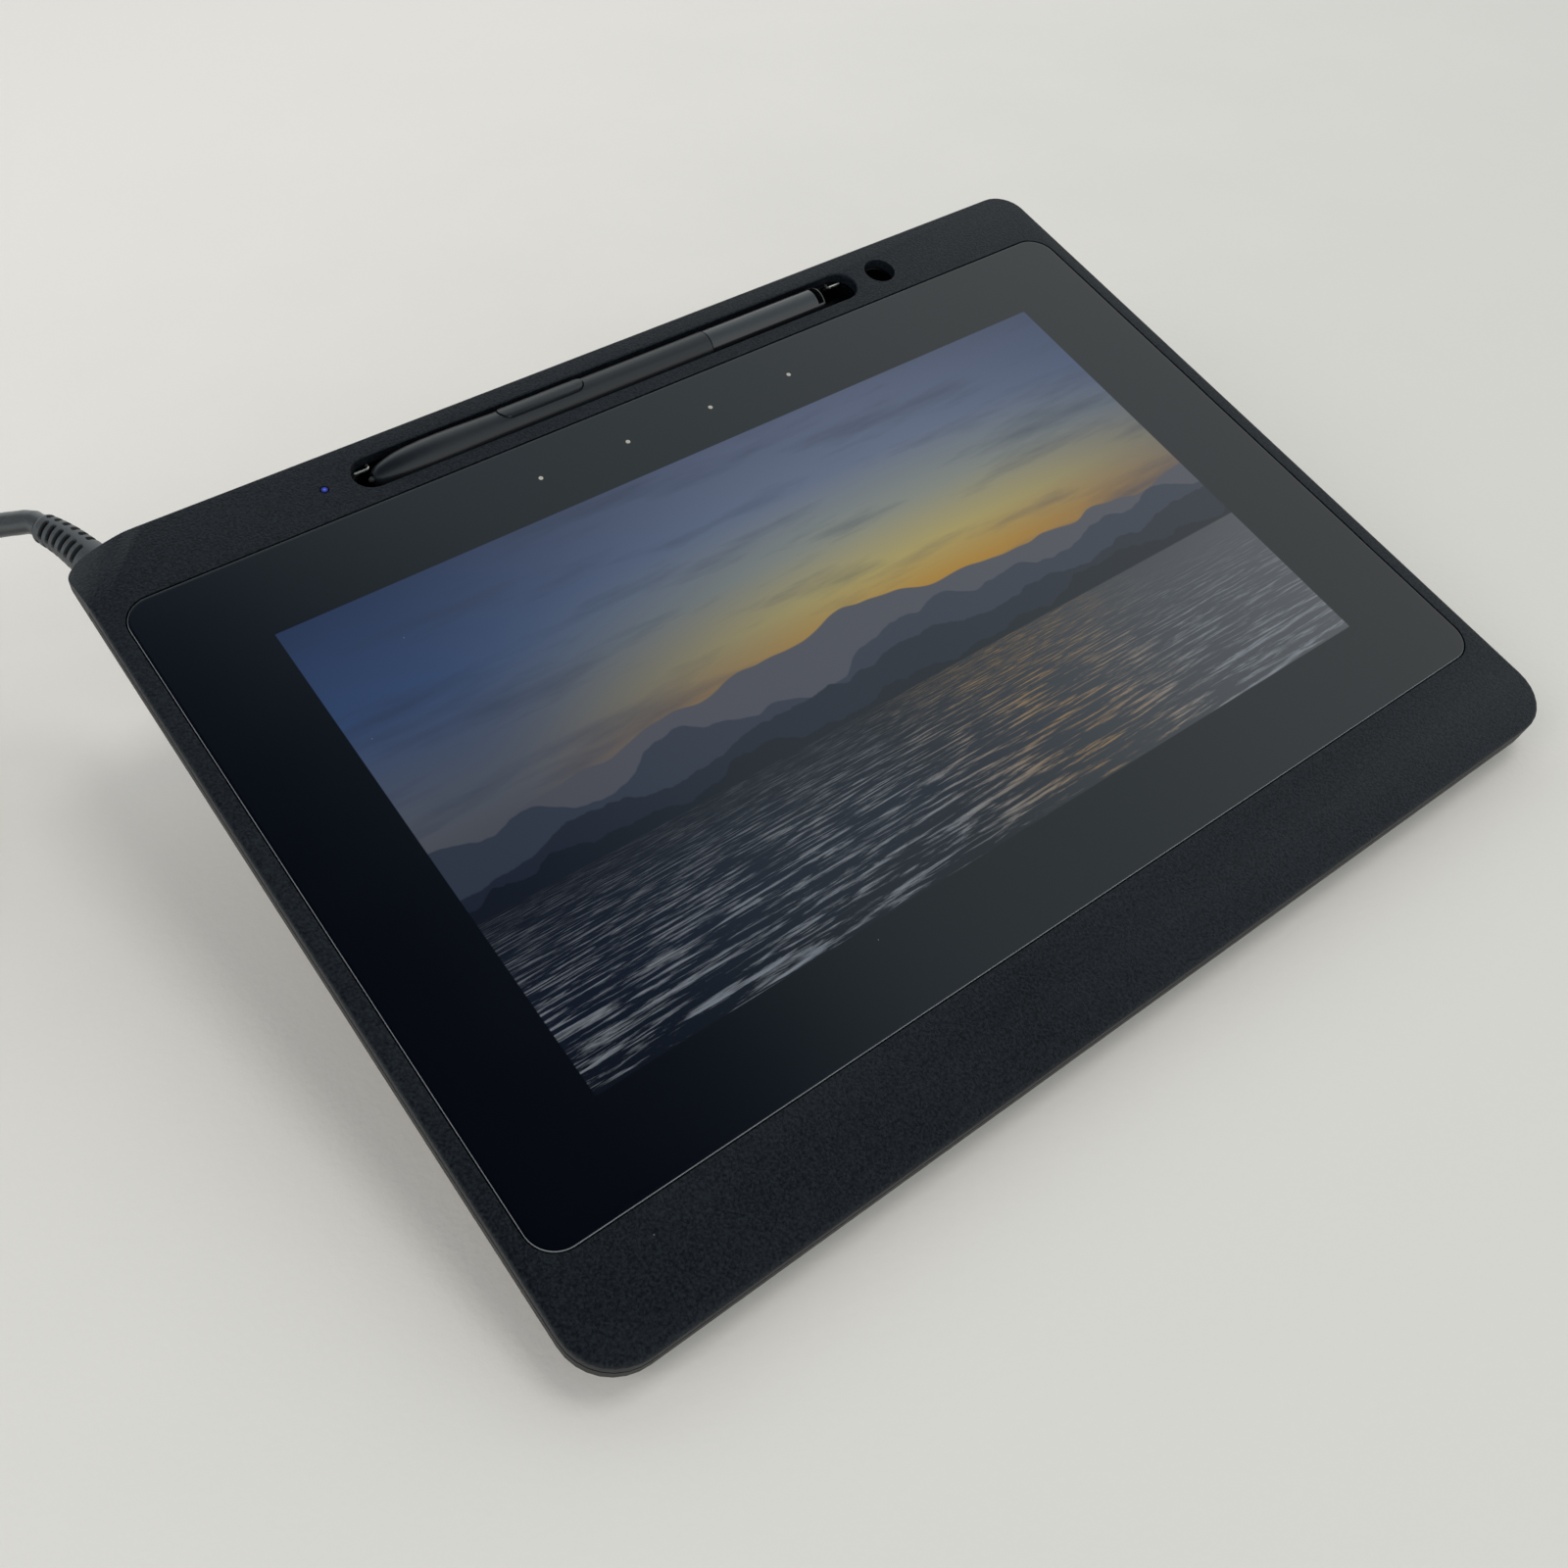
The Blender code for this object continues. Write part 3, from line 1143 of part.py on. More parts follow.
def build_main_board(frame):
    """Main board on its posts, with its chips and headers, and the sensor's flex."""
    board = box(
        "main_board", (MAIN_BOARD_LENGTH, MAIN_BOARD_DEPTH, MAIN_BOARD_THICKNESS),
        (MAIN_BOARD_X, MAIN_BOARD_Y, (MAIN_BOARD_TOP + MAIN_BOARD_BOTTOM) / 2.0), frame,
        "circuit_board",
    )
    quarter = MAIN_BOARD_LENGTH / 4.0
    chips = (
        ("processor", CHIP_SIZE, CHIP_SIZE, CHIP_HEIGHT, quarter, 0.0),
        ("bridge_chip", BRIDGE_SIZE, BRIDGE_SIZE, CHIP_HEIGHT, 0.0, BRIDGE_SIZE / 2.0),
        ("choke", CHOKE_SIZE, CHOKE_SIZE, LEAD_HEADER_HEIGHT, -quarter, 0.0),
    )
    for name, length, depth, height, offset_x, offset_y in chips:
        middle = (
            MAIN_BOARD_X + offset_x, MAIN_BOARD_Y + offset_y,
            MAIN_BOARD_TOP + (height - CHIP_SINK) / 2.0,
        )
        join(board, box(name, (length, depth, height + CHIP_SINK), middle, frame))
    header_x, header_y = lead_header_place()
    join(board, box(
        "lead_header", (LEAD_HEADER_LENGTH, LEAD_HEADER_DEPTH, LEAD_HEADER_HEIGHT + CHIP_SINK),
        (header_x, header_y, MAIN_BOARD_TOP + (LEAD_HEADER_HEIGHT - CHIP_SINK) / 2.0), frame,
    ))
    front_y = MAIN_BOARD_Y - MAIN_BOARD_DEPTH / 2.0
    join(board, box(
        "flex_header", (FLEX_WIDTH, FLEX_HEADER_DEPTH, CHIP_HEIGHT + CHIP_SINK),
        (FLEX_X, front_y + FLEX_HEADER_DEPTH / 2.0 + CHIP_SINK,
         MAIN_BOARD_TOP + (CHIP_HEIGHT - CHIP_SINK) / 2.0), frame,
    ))
    build_flex(frame, front_y + CHIP_SINK)


def lead_header_place():
    """X and Y of the middle of the header that takes the lead."""
    return (
        MAIN_BOARD_X - MAIN_BOARD_LENGTH / 2.0 + LEAD_HEADER_LENGTH / 2.0 - 2.0 * CHIP_SINK,
        MAIN_BOARD_Y + MAIN_BOARD_DEPTH / 4.0,
    )


def build_flex(frame, header_y):
    """Film from the front edge of the sensor, round and back to the main board."""
    sensor_front = PANEL_MIDDLE_Y - SENSOR_DEPTH / 2.0
    start_z = (SENSOR_TOP + SENSOR_BOTTOM) / 2.0
    low_z = SHIELD_BOTTOM - FLEX_SINK
    turn_y = sensor_front - FLEX_REACH
    end_z = MAIN_BOARD_TOP + CHIP_HEIGHT / 2.0
    path = (
        (sensor_front - FIT_GAP, start_z), (turn_y + FLEX_SINK / 2.0, start_z),
        (turn_y, start_z - FLEX_SINK / 2.0), (turn_y, low_z + FLEX_SINK / 2.0),
        (turn_y + FLEX_SINK / 2.0, low_z), (header_y - FLEX_REACH * 2.0, low_z),
        (header_y - FLEX_REACH, end_z), (header_y - FIT_GAP, end_z),
    )
    shape = bmesh.new()
    rows = []
    for side in (-1.0, 1.0):
        edge_x = FLEX_X + side * (FLEX_WIDTH / 2.0 - FIT_GAP)
        rows.append([shape.verts.new((edge_x, y, z)) for y, z in path])
    for index in range(len(path) - 1):
        shape.faces.new((rows[0][index], rows[1][index], rows[1][index + 1], rows[0][index + 1]))
    film = from_bmesh("sensor_flex", shape, frame, "flex_film")
    modifier = film.modifiers.new("Film thickness", "SOLIDIFY")
    modifier.thickness = FLEX_THICKNESS
    modifier.offset = 0.0


# Tray, pen hole and lock


def build_tray(frame):
    """Gloss trough under the slot, round along the pen, with a ledge and a well at each end.

    A steel bar for a tether lies along the rear wall at each end, with a leg into that wall.
    """
    top = -(TOP_SKIN + FIT_GAP)
    bottom = -(TRAY_FLOOR_DEPTH + TRAY_WALL)
    tray = plate("pen_tray", slot_outline(TRAY_WALL), bottom, top, frame, "gloss_abs")
    cut(tray, plate("tray_mouth", slot_outline(0.0), -TRAY_LEDGE_DEPTH, OVERRUN, frame))
    cut(tray, plate(
        "tray_well", slot_outline(-TRAY_LEDGE_WIDTH), -TRAY_FLOOR_DEPTH, OVERRUN, frame
    ))
    cradle_end = SLOT_WIDTH / 2.0 - PEN_RADIUS
    cradle = cylinder(
        "pen_cradle", SLOT_WIDTH / 2.0, PEN_TIP_X - NIB_REACH - cradle_end, PEN_END_X + cradle_end,
        (0.0, TRAY_Y, -PEN_AXIS_DEPTH), frame, turn=(0.0, math.pi / 2.0, 0.0),
    )
    cut(tray, cradle)
    wall_y = TRAY_Y + SLOT_WIDTH / 2.0
    bar_y = wall_y - TETHER_PIN_SPACE
    outer_x = SLOT_LENGTH / 2.0 - TETHER_PIN_INSET
    inner_x = outer_x - TETHER_PIN_LENGTH + TETHER_PIN_RADIUS
    bend = TETHER_PIN_RADIUS
    for name, side in (("tether_pin_left", -1.0), ("tether_pin_right", 1.0)):
        path = (
            (outer_x, bar_y), (inner_x + bend, bar_y), (inner_x, bar_y + bend),
            (inner_x, wall_y - TETHER_PIN_GAP),
        )
        tube(
            name, [(side * x, y, -TETHER_PIN_DEPTH) for x, y in path], TETHER_PIN_RADIUS, frame,
            "steel", 2,
        )


def build_pen_cup(frame):
    """Blind cup under the round hole, in which the pen can stand."""
    top = -(TOP_SKIN + FIT_GAP)
    bottom = FIT_GAP + BODY_WALL / 2.0 - BODY_DEPTH + BODY_WALL
    inner_floor = bottom + HOLE_CUP_FLOOR
    outer = HOLE_RADIUS + HOLE_CUP_WALL
    profile = (
        (HOLE_RADIUS, top), (outer, top), (outer, bottom), (0.0, bottom),
    )
    cup = turned(
        "pen_stand_cup",
        ((0.0, inner_floor), (HOLE_RADIUS, inner_floor)) + profile, frame, "gloss_abs",
    )
    cup.location = (HOLE_X, TRAY_Y, 0.0)


def build_lock_plate(frame):
    """Steel plate behind the security slot."""
    wall = TOP_WALL + BODY_WALL * 2.0
    middle = (LOCK_X, CASE_DEPTH / 2.0 - wall - LOCK_PLATE_THICKNESS / 2.0, -LOCK_DEPTH)
    lock_plate = box(
        "lock_plate", (LOCK_PLATE_WIDTH, LOCK_PLATE_THICKNESS, LOCK_PLATE_HEIGHT), middle, frame,
        "steel",
    )
    slot_size = (LOCK_SLOT_WIDTH, LOCK_PLATE_THICKNESS + OVERRUN, LOCK_SLOT_HEIGHT)
    cut(lock_plate, box("lock_plate_slot", slot_size, middle, frame))


# Pen


def build_pen(frame):
    """The pen in its tray: barrel, cap, nib, side switch and what they hold."""
    pen = bpy.data.objects.new("pen_lift", None)
    place(pen, frame, None)
    pen.location = (0.0, TRAY_Y, -PEN_AXIS_DEPTH)
    build_pen_barrel(pen)
    build_pen_cap(pen)
    build_nib(pen)
    build_side_switch(pen)
    build_pen_inside(pen)


def along_pen(item):
    """Turn a piece made about Z so that it lies along the pen."""
    item.rotation_euler = (0.0, math.pi / 2.0, 0.0)
    return item


def nose_profile():
    """Outer (radius, height) pairs of the pen's nose, from its root down to its tip."""
    pairs = zip(reversed(NOSE_LENGTH_SHARES), reversed(NOSE_RADIUS_SHARES))
    return [
        (PEN_RADIUS * radius, PEN_TIP_X + PEN_NOSE_LENGTH * length) for length, radius in pairs
    ]


def build_pen_barrel(pen):
    """Barrel and nose in one moulding, bored from the rear, with a bore for the nib."""
    nib_bore = NIB_RADIUS + NIB_CLEARANCE
    end = PEN_SEAM_X - PEN_SEAM_GAP / 2.0
    profile = [(PEN_RADIUS, end)] + nose_profile() + [
        (nib_bore, PEN_TIP_X), (nib_bore, PEN_TIP_X + PEN_NIB_GUIDE),
        (PEN_BORE_RADIUS, PEN_TIP_X + PEN_BORE_START), (PEN_BORE_RADIUS, end),
    ]
    barrel = turned("pen_barrel", profile, pen, "pen_rubber", steps=PEN_STEPS, closed=True)
    along_pen(barrel)
    cut(barrel, switch_pocket(pen))


def build_pen_cap(pen):
    """Rear cap with a spigot in the barrel's bore and a loop for a tether across its end."""
    seam = PEN_SEAM_X + PEN_SEAM_GAP / 2.0
    start = seam - PEN_SPIGOT_LENGTH
    spigot_radius = PEN_BORE_RADIUS - FIT_GAP
    spigot_bore = spigot_radius - PEN_SPIGOT_WALL
    edge = PEN_END_RADIUS
    bore_end = PEN_END_X - PEN_CAP_SOLID
    profile = [(0.0, PEN_END_X)]
    steps = 3
    for step in range(steps + 1):
        angle = math.pi / 2.0 * step / steps
        profile.append((
            PEN_RADIUS - edge + edge * math.sin(angle), PEN_END_X - edge + edge * math.cos(angle)
        ))
    profile += [
        (PEN_RADIUS, seam), (spigot_radius, seam), (spigot_radius, start),
        (spigot_bore, start), (spigot_bore, bore_end), (0.0, bore_end),
    ]
    cap = along_pen(turned("pen_cap", profile, pen, "pen_rubber", steps=PEN_STEPS))
    loop_x = PEN_END_X - PEN_LOOP_INSET - PEN_LOOP_LENGTH / 2.0
    cut(cap, box(
        "tether_loop", (PEN_LOOP_LENGTH, PEN_LOOP_WIDTH, 3.0 * PEN_RADIUS), (loop_x, 0.0, 0.0), pen
    ))


def build_nib(pen):
    """Nib that slides in the nose against the pressure sensor."""
    origin = bpy.data.objects.new("nib_slide", None)
    place(origin, pen, None)
    tip = PEN_TIP_X - NIB_REACH
    origin.location = (tip, 0.0, 0.0)
    profile = (
        (0.0, NIB_LENGTH), (NIB_RADIUS, NIB_LENGTH), (NIB_RADIUS, NIB_RADIUS),
        (NIB_TIP_RADIUS, NIB_TIP_RADIUS / 4.0), (0.0, 0.0),
    )
    along_pen(turned("pen_nib", profile, origin, "nib_plastic", steps=SMALL_ROUND_STEPS))


def switch_outline(growth):
    """Outline of the side switch about its own middle, grown by an amount."""
    return stadium(SWITCH_LENGTH + 2.0 * growth, SWITCH_WIDTH + 2.0 * growth)


def lean_switch(item, low, high):
    """Lean an upright plate about the pen's axis and set it between two radii."""
    up = Vector((0.0, math.sin(SWITCH_LEAN), math.cos(SWITCH_LEAN)))
    item.rotation_euler = (-SWITCH_LEAN, 0.0, 0.0)
    item.location = Vector((SWITCH_X, 0.0, 0.0)) + up * (low + high) / 2.0
    return item


def switch_pocket(pen):
    """The slot through the barrel's wall in which the switch rocks, as a cutter."""
    high = PEN_RADIUS + OVERRUN
    pocket = plate("switch_pocket", switch_outline(FIT_GAP), SWITCH_POCKET_FLOOR, high, pen)
    return lean_switch(pocket, SWITCH_POCKET_FLOOR, high)


def build_side_switch(pen):
    """Rocker whose top follows the round of the barrel; its origin is on its trunnions."""
    up = Vector((0.0, math.sin(SWITCH_LEAN), math.cos(SWITCH_LEAN)))
    origin = bpy.data.objects.new("side_switch_hinge", None)
    place(origin, pen, None)
    origin.location = Vector((SWITCH_X, 0.0, 0.0)) + up * SWITCH_AXIS_RADIUS
    origin.rotation_euler = (-SWITCH_LEAN, 0.0, 0.0)
    low = SWITCH_FLOOR - SWITCH_AXIS_RADIUS
    high = PEN_RADIUS + OVERRUN - SWITCH_AXIS_RADIUS
    switch = plate("side_switch", switch_outline(0.0), low, high, origin, "pen_rubber")
    round_top = cylinder(
        "switch_round", PEN_RADIUS + SWITCH_PROUD, -SWITCH_LENGTH, SWITCH_LENGTH,
        (0.0, 0.0, -SWITCH_AXIS_RADIUS), origin, steps=2 * ROUND_STEPS,
        turn=(0.0, math.pi / 2.0, 0.0),
    )
    keep_inside(switch, round_top)


def build_pen_inside(pen):
    """Pick-up winding round the nib, and the board with its pressure sensor."""
    coil_end = PEN_TIP_X + NIB_LENGTH - NIB_REACH - PEN_SENSOR_GAP
    profile = (
        (PEN_COIL_RADIUS, coil_end), (PEN_COIL_RADIUS, coil_end - PEN_COIL_LENGTH / 3.0),
        (PEN_COIL_BORE, coil_end - PEN_COIL_LENGTH / 3.0), (PEN_COIL_BORE, coil_end),
    )
    along_pen(turned(
        "pen_coil", profile, pen, "copper_winding", steps=SMALL_ROUND_STEPS, closed=True
    ))
    sensor_start = PEN_TIP_X - NIB_REACH + NIB_LENGTH + PEN_SENSOR_GAP
    sensor_end = sensor_start + PEN_SENSOR_LENGTH
    board_start = sensor_end - PEN_SENSOR_OVERLAP
    board = box(
        "pen_board", (PEN_BOARD_LENGTH, PEN_BOARD_WIDTH, BOARD_THICKNESS),
        (board_start + PEN_BOARD_LENGTH / 2.0, 0.0, -PEN_BOARD_DEPTH), pen, "circuit_board",
    )
    join(board, cylinder(
        "pressure_sensor", PEN_SENSOR_RADIUS, sensor_start, sensor_end, (0.0, 0.0, 0.0), pen,
        steps=SMALL_ROUND_STEPS, turn=(0.0, math.pi / 2.0, 0.0),
    ))


# Stand and feet


def stand_outline(inset, extra_rear=0.0):
    """The stand's outline, drawn in by an inset, longer at the rear by an amount."""
    depth = STAND_REAR_Y - STAND_FRONT_Y + extra_rear - 2.0 * inset
    middle_y = (STAND_REAR_Y + STAND_FRONT_Y + extra_rear) / 2.0
    return plain_outline(
        STAND_WIDTH - 2.0 * inset, depth, STAND_CORNER_RADIUS - inset, middle_y
    )


def build_stand(frame):
    """Hollow wedge, open at the top, with a level base and four posts for its screws."""
    top = -(BODY_DEPTH + FIT_GAP)
    base = table_plane(UNDERSIDE_HEIGHT)
    edge_top = table_plane(UNDERSIDE_HEIGHT + STAND_EDGE)
    stand = stack("stand_base", [
        ring(stand_outline(STAND_EDGE + STAND_DRAFT / 2.0), base),
        ring(stand_outline(STAND_DRAFT / 2.0), edge_top),
        ring(stand_outline(0.0, STAND_DRAFT), top),
    ], frame, "underside_abs")
    wall = STAND_WALL
    cut(stand, stack("stand_cavity", [
        ring(stand_outline(wall + STAND_DRAFT / 2.0), table_plane(UNDERSIDE_HEIGHT + wall)),
        ring(stand_outline(wall, STAND_DRAFT), top),
        ring(stand_outline(wall, STAND_DRAFT), top + OVERRUN),
    ], frame))
    web_low = top - MOUNT_WEB
    for index, (x, y) in enumerate(mount_places(), 1):
        floor = base(x, y)
        join(stand, cylinder(
            "stand_post_%d" % index, MOUNT_POST_RADIUS, floor + wall / 2.0, top, (x, y, 0.0),
            frame, steps=SMALL_ROUND_STEPS,
        ))
    for index, (x, y) in enumerate(mount_places(), 1):
        floor = base(x, y)
        cut(stand, cylinder(
            "stand_sink_%d" % index, MOUNT_HEAD_RADIUS + FIT_GAP, floor - 2.0 * OVERRUN, web_low,
            (x, y, 0.0), frame, steps=SMALL_ROUND_STEPS,
        ))
        cut(stand, cylinder(
            "stand_hole_%d" % index, MOUNT_SCREW_RADIUS + FIT_GAP, web_low - OVERRUN,
            top + OVERRUN, (x, y, 0.0), frame, steps=SMALL_ROUND_STEPS,
        ))


def build_feet():
    """Four rubber feet between the level underside and the table."""
    top = UNDERSIDE_HEIGHT - FIT_GAP
    front_y = CASE_SHIFT_Y - CASE_FRONT_REACH + FRONT_FOOT_SETBACK
    rear_low = on_table((0.0, STAND_REAR_Y, table_plane(UNDERSIDE_HEIGHT)(0.0, STAND_REAR_Y)))
    rear_y = rear_low.y - REAR_FOOT_SETBACK
    places = (
        ("front_foot_left", -FRONT_FOOT_X, front_y), ("front_foot_right", FRONT_FOOT_X, front_y),
        ("rear_foot_left", -REAR_FOOT_X, rear_y), ("rear_foot_right", REAR_FOOT_X, rear_y),
    )
    for name, x, y in places:
        foot = plate(name, stadium(FOOT_LENGTH, FOOT_WIDTH), 0.0, top, None, "foot_rubber")
        foot.location = (x, y, top / 2.0)
        bevel_edges(foot, FOOT_EDGE, segments=1)


# Lead


def build_inner_lead(frame):
    """Lead inside the case, from the strain relief to its header on the main board."""
    exit_point, direction = relief_frame()
    start = exit_point - direction * (RELIEF_NECK_LENGTH + FIT_GAP)
    header_x, header_y = lead_header_place()
    end_x = header_x - LEAD_HEADER_LENGTH / 2.0 - FIT_GAP
    run_z = BODY_FLOOR + INNER_LEAD_RADIUS + FIT_GAP
    wall_x = -(CASE_WIDTH / 2.0 - BODY_SIDE_INSET - 3.0 * BODY_WALL)
    knots = (
        start, start - direction * (4.0 * INNER_LEAD_RADIUS),
        Vector((wall_x, TRAY_Y * 0.6, run_z)), Vector((wall_x, header_y + CHIP_SIZE, run_z)),
        Vector((wall_x * 0.93, header_y + CHIP_SIZE / 4.0, run_z)),
        Vector((end_x - CHIP_SIZE / 4.0, header_y, run_z)), Vector((end_x, header_y, run_z)),
    )
    points = smooth_route([tuple(knot) for knot in knots], 3.0 * INNER_LEAD_RADIUS)
    tube("inner_lead", points, INNER_LEAD_RADIUS, frame, "cable_jacket", 1)


def relief_points():
    """Centre line of the strain relief outside the wall, in the frame of the table."""
    exit_point, direction = relief_frame()
    start = on_table(exit_point)
    ahead = direction_on_table(direction)
    bend = start + ahead * (RELIEF_LENGTH * relief_straight_share())
    toward = (Vector(CABLE_ROUTE[0]) - bend).normalized()
    tip = bend + (ahead + toward).normalized() * (RELIEF_LENGTH * (1.0 - relief_straight_share()))
    knots = [tuple(start + ahead * relief_stand_off()), tuple(bend), tuple(tip)]
    return smooth_route(knots, RELIEF_LENGTH / 12.0)


def relief_stand_off():
    """How far out the sleeve starts, so that its slanting end clears the wall."""
    return RELIEF_BASE_RADIUS * math.tan(RELIEF_TURN) + FIT_GAP


def relief_straight_share():
    """Share of the relief that runs straight before it bends with the lead."""
    return 0.60


def build_strain_relief():
    """Neck inside the corner, and a tapered sleeve with slots on four sides outside it."""
    exit_point, direction = relief_frame()
    start = on_table(exit_point)
    ahead = direction_on_table(direction)
    points = relief_points()
    shares = np.linspace(1.0, RELIEF_TIP_RADIUS / RELIEF_BASE_RADIUS, len(points))
    shares[-1] = RELIEF_NOSE_RADIUS / RELIEF_BASE_RADIUS
    relief = tube_mesh(
        "strain_relief", points, RELIEF_BASE_RADIUS, None, "cable_jacket", 4, shares
    )
    join(relief, cylinder(
        "relief_neck", RELIEF_NECK_RADIUS, -RELIEF_NECK_LENGTH,
        RELIEF_SLOT_START - RELIEF_SLOT_WIDTH, start, None, steps=CORNER_STEPS * 3,
        turn=ahead.to_track_quat("Z", "Y").to_euler(),
    ))
    lengths = np.r_[0.0, np.cumsum(np.linalg.norm(np.diff(points, axis=0), axis=1))]
    for index in range(2 * RELIEF_SLOT_COUNT):
        station = RELIEF_SLOT_START - relief_stand_off() + index * RELIEF_SLOT_PITCH / 2.0
        place_here = Vector([np.interp(station, lengths, points[:, axis]) for axis in range(3)])
        further = [np.interp(station + RELIEF_SLOT_WIDTH, lengths, points[:, a]) for a in range(3)]
        tangent = (Vector(further) - place_here).normalized()
        roll = Quaternion((0.0, 1.0, 0.0), RELIEF_SLOT_ROLL)
        frame_here = tangent.to_track_quat("Y", "Z") @ roll
        sideways = index % 2 == 1
        for side in (-1.0, 1.0):
            reach = Vector((1.0, 0.0, 0.0)) if sideways else Vector((0.0, 0.0, 1.0))
            middle = place_here + frame_here @ (
                reach * side * (RELIEF_CORE_RADIUS + RELIEF_BASE_RADIUS / 2.0)
            )
            wide = RELIEF_BASE_RADIUS
            tall = 1.1 * RELIEF_BASE_RADIUS
            size = (wide, RELIEF_SLOT_WIDTH, tall) if sideways else (tall, RELIEF_SLOT_WIDTH, wide)
            cut(relief, box(
                "relief_slot_%d_%d" % (index, side), size, middle, None,
                turn=frame_here.to_euler(),
            ))
    return relief


def coil_points():
    """Centre line of the wound lead: in, up a layer in half a turn, and out again."""
    layer = COIL_TURNS_PER_LAYER
    total = 2.0 * layer + COIL_CLIMB_TURNS
    outer = COIL_MEAN_RADIUS + COIL_PITCH * layer / 2.0
    count = int(round(total * COIL_POINTS_PER_TURN))
    turns = np.linspace(0.0, total, count + 1)
    climb = np.clip((turns - layer) / COIL_CLIMB_TURNS, 0.0, 1.0)
    inward = np.minimum(turns, layer)
    outward = np.maximum(turns - layer - COIL_CLIMB_TURNS, 0.0)
    dip = COIL_CLIMB_DIP * np.sin(math.pi * climb)
    radius = outer - COIL_PITCH * (inward - outward) - dip
    angle = COIL_START_ANGLE + 2.0 * math.pi * turns
    height = COIL_LOW_Z + COIL_PITCH * (1.0 - np.cos(math.pi * climb)) / 2.0
    line = np.column_stack((
        COIL_CENTRE[0] + radius * np.cos(angle), COIL_CENTRE[1] + radius * np.sin(angle), height
    ))
    ends = []
    for place_here, swing, side in ((line[0], angle[0], -1.0), (line[-1], angle[-1], 1.0)):
        tangent = np.array((-math.sin(swing), math.cos(swing), 0.0))
        ends.append(place_here + side * CABLE_DIAMETER * tangent)
    return np.vstack((ends[0], line, ends[1]))


def least_self_gap(points):
    """Smallest clear distance between turns of the coil, on its points."""
    skip = COIL_POINTS_PER_TURN // 3
    least = float("inf")
    for index in range(len(points) - skip):
        others = points[index + skip:]
        least = min(least, float(np.linalg.norm(others - points[index], axis=1).min()))
    return least - CABLE_DIAMETER


def cable_piece(start, start_way, knots, end, end_way):
    """Points of a free piece of the lead, square to what it meets, with a gap at both ends."""
    first = np.array(start) + np.array(start_way) * FIT_GAP
    last = np.array(end) - np.array(end_way) * FIT_GAP
    second = first + np.array(start_way) * CABLE_RADIUS
    before = last - np.array(end_way) * CABLE_RADIUS
    middle = smooth_route([tuple(second), *knots, tuple(before)], CABLE_POINT_SPACING)
    return np.vstack((first[None], middle, last[None]))


def build_cable():
    """Free run, coil, tail, tie and plug, laid on the table out of the way."""
    coil = coil_points()
    start_way = (coil[1] - coil[0]) / np.linalg.norm(coil[1] - coil[0])
    end_way = (coil[-1] - coil[-2]) / np.linalg.norm(coil[-1] - coil[-2])
    tube("cable_coil", coil, CABLE_RADIUS, None, "cable_jacket", 1)

    relief = relief_points()
    leaving = (relief[-1] - relief[-2]) / np.linalg.norm(relief[-1] - relief[-2])
    run = cable_piece(relief[-1], leaving, CABLE_ROUTE, coil[0], start_way)
    tube("cable_run", run, CABLE_RADIUS, None, "cable_jacket", CABLE_SIDES_RESOLUTION)

    plug_way = np.array((math.cos(PLUG_DIRECTION), math.sin(PLUG_DIRECTION), 0.0))
    plug_z = PLUG_BODY_HEIGHT / 2.0 + FIT_GAP
    tail_end = np.array((TAIL_POINTS[-1][0], TAIL_POINTS[-1][1], plug_z))
    tail = cable_piece(coil[-1], end_way, TAIL_POINTS[:-1], tail_end, plug_way)
    tube("cable_tail", tail, CABLE_RADIUS, None, "cable_jacket", CABLE_SIDES_RESOLUTION)
    build_tie(coil)
    build_plug(tail_end, plug_way)
    total = line_length(coil) + line_length(run) + line_length(tail)
    print("coil least self gap, mm: %.2f" % (1000.0 * least_self_gap(coil)))
    print("lead outside the relief, m: %.3f" % total)


def build_tie(coil):
    """Strap round the winding at one place, open nowhere."""
    centre = np.array((*COIL_CENTRE, 0.0))
    away = np.linalg.norm((coil - centre)[:, :2], axis=1)
    swing = np.unwrap(np.arctan2((coil - centre)[:, 1], (coil - centre)[:, 0]))
    near = np.abs((swing - TIE_ANGLE + math.pi) % (2.0 * math.pi) - math.pi) < math.radians(16.0)
    inner = away[near].min() - CABLE_RADIUS - FIT_GAP
    outer = away[near].max() + CABLE_RADIUS + FIT_GAP
    top = coil[:, 2].max() + CABLE_RADIUS + FIT_GAP
    middle = centre + np.array((math.cos(TIE_ANGLE), math.sin(TIE_ANGLE), 0.0)) * (inner + outer) / 2.0
    wide = outer - inner
    low = TIE_THICKNESS
    strap = box(
        "cable_tie", (wide + 2.0 * TIE_THICKNESS, TIE_WIDTH, top + TIE_THICKNESS),
        (middle[0], middle[1], (top + TIE_THICKNESS) / 2.0), None, "foot_rubber",
        turn=(0.0, 0.0, TIE_ANGLE),
    )
    cut(strap, box(
        "tie_hole", (wide, TIE_WIDTH + OVERRUN, top - low), (middle[0], middle[1], (top + low) / 2.0),
        None, turn=(0.0, 0.0, TIE_ANGLE),
    ))


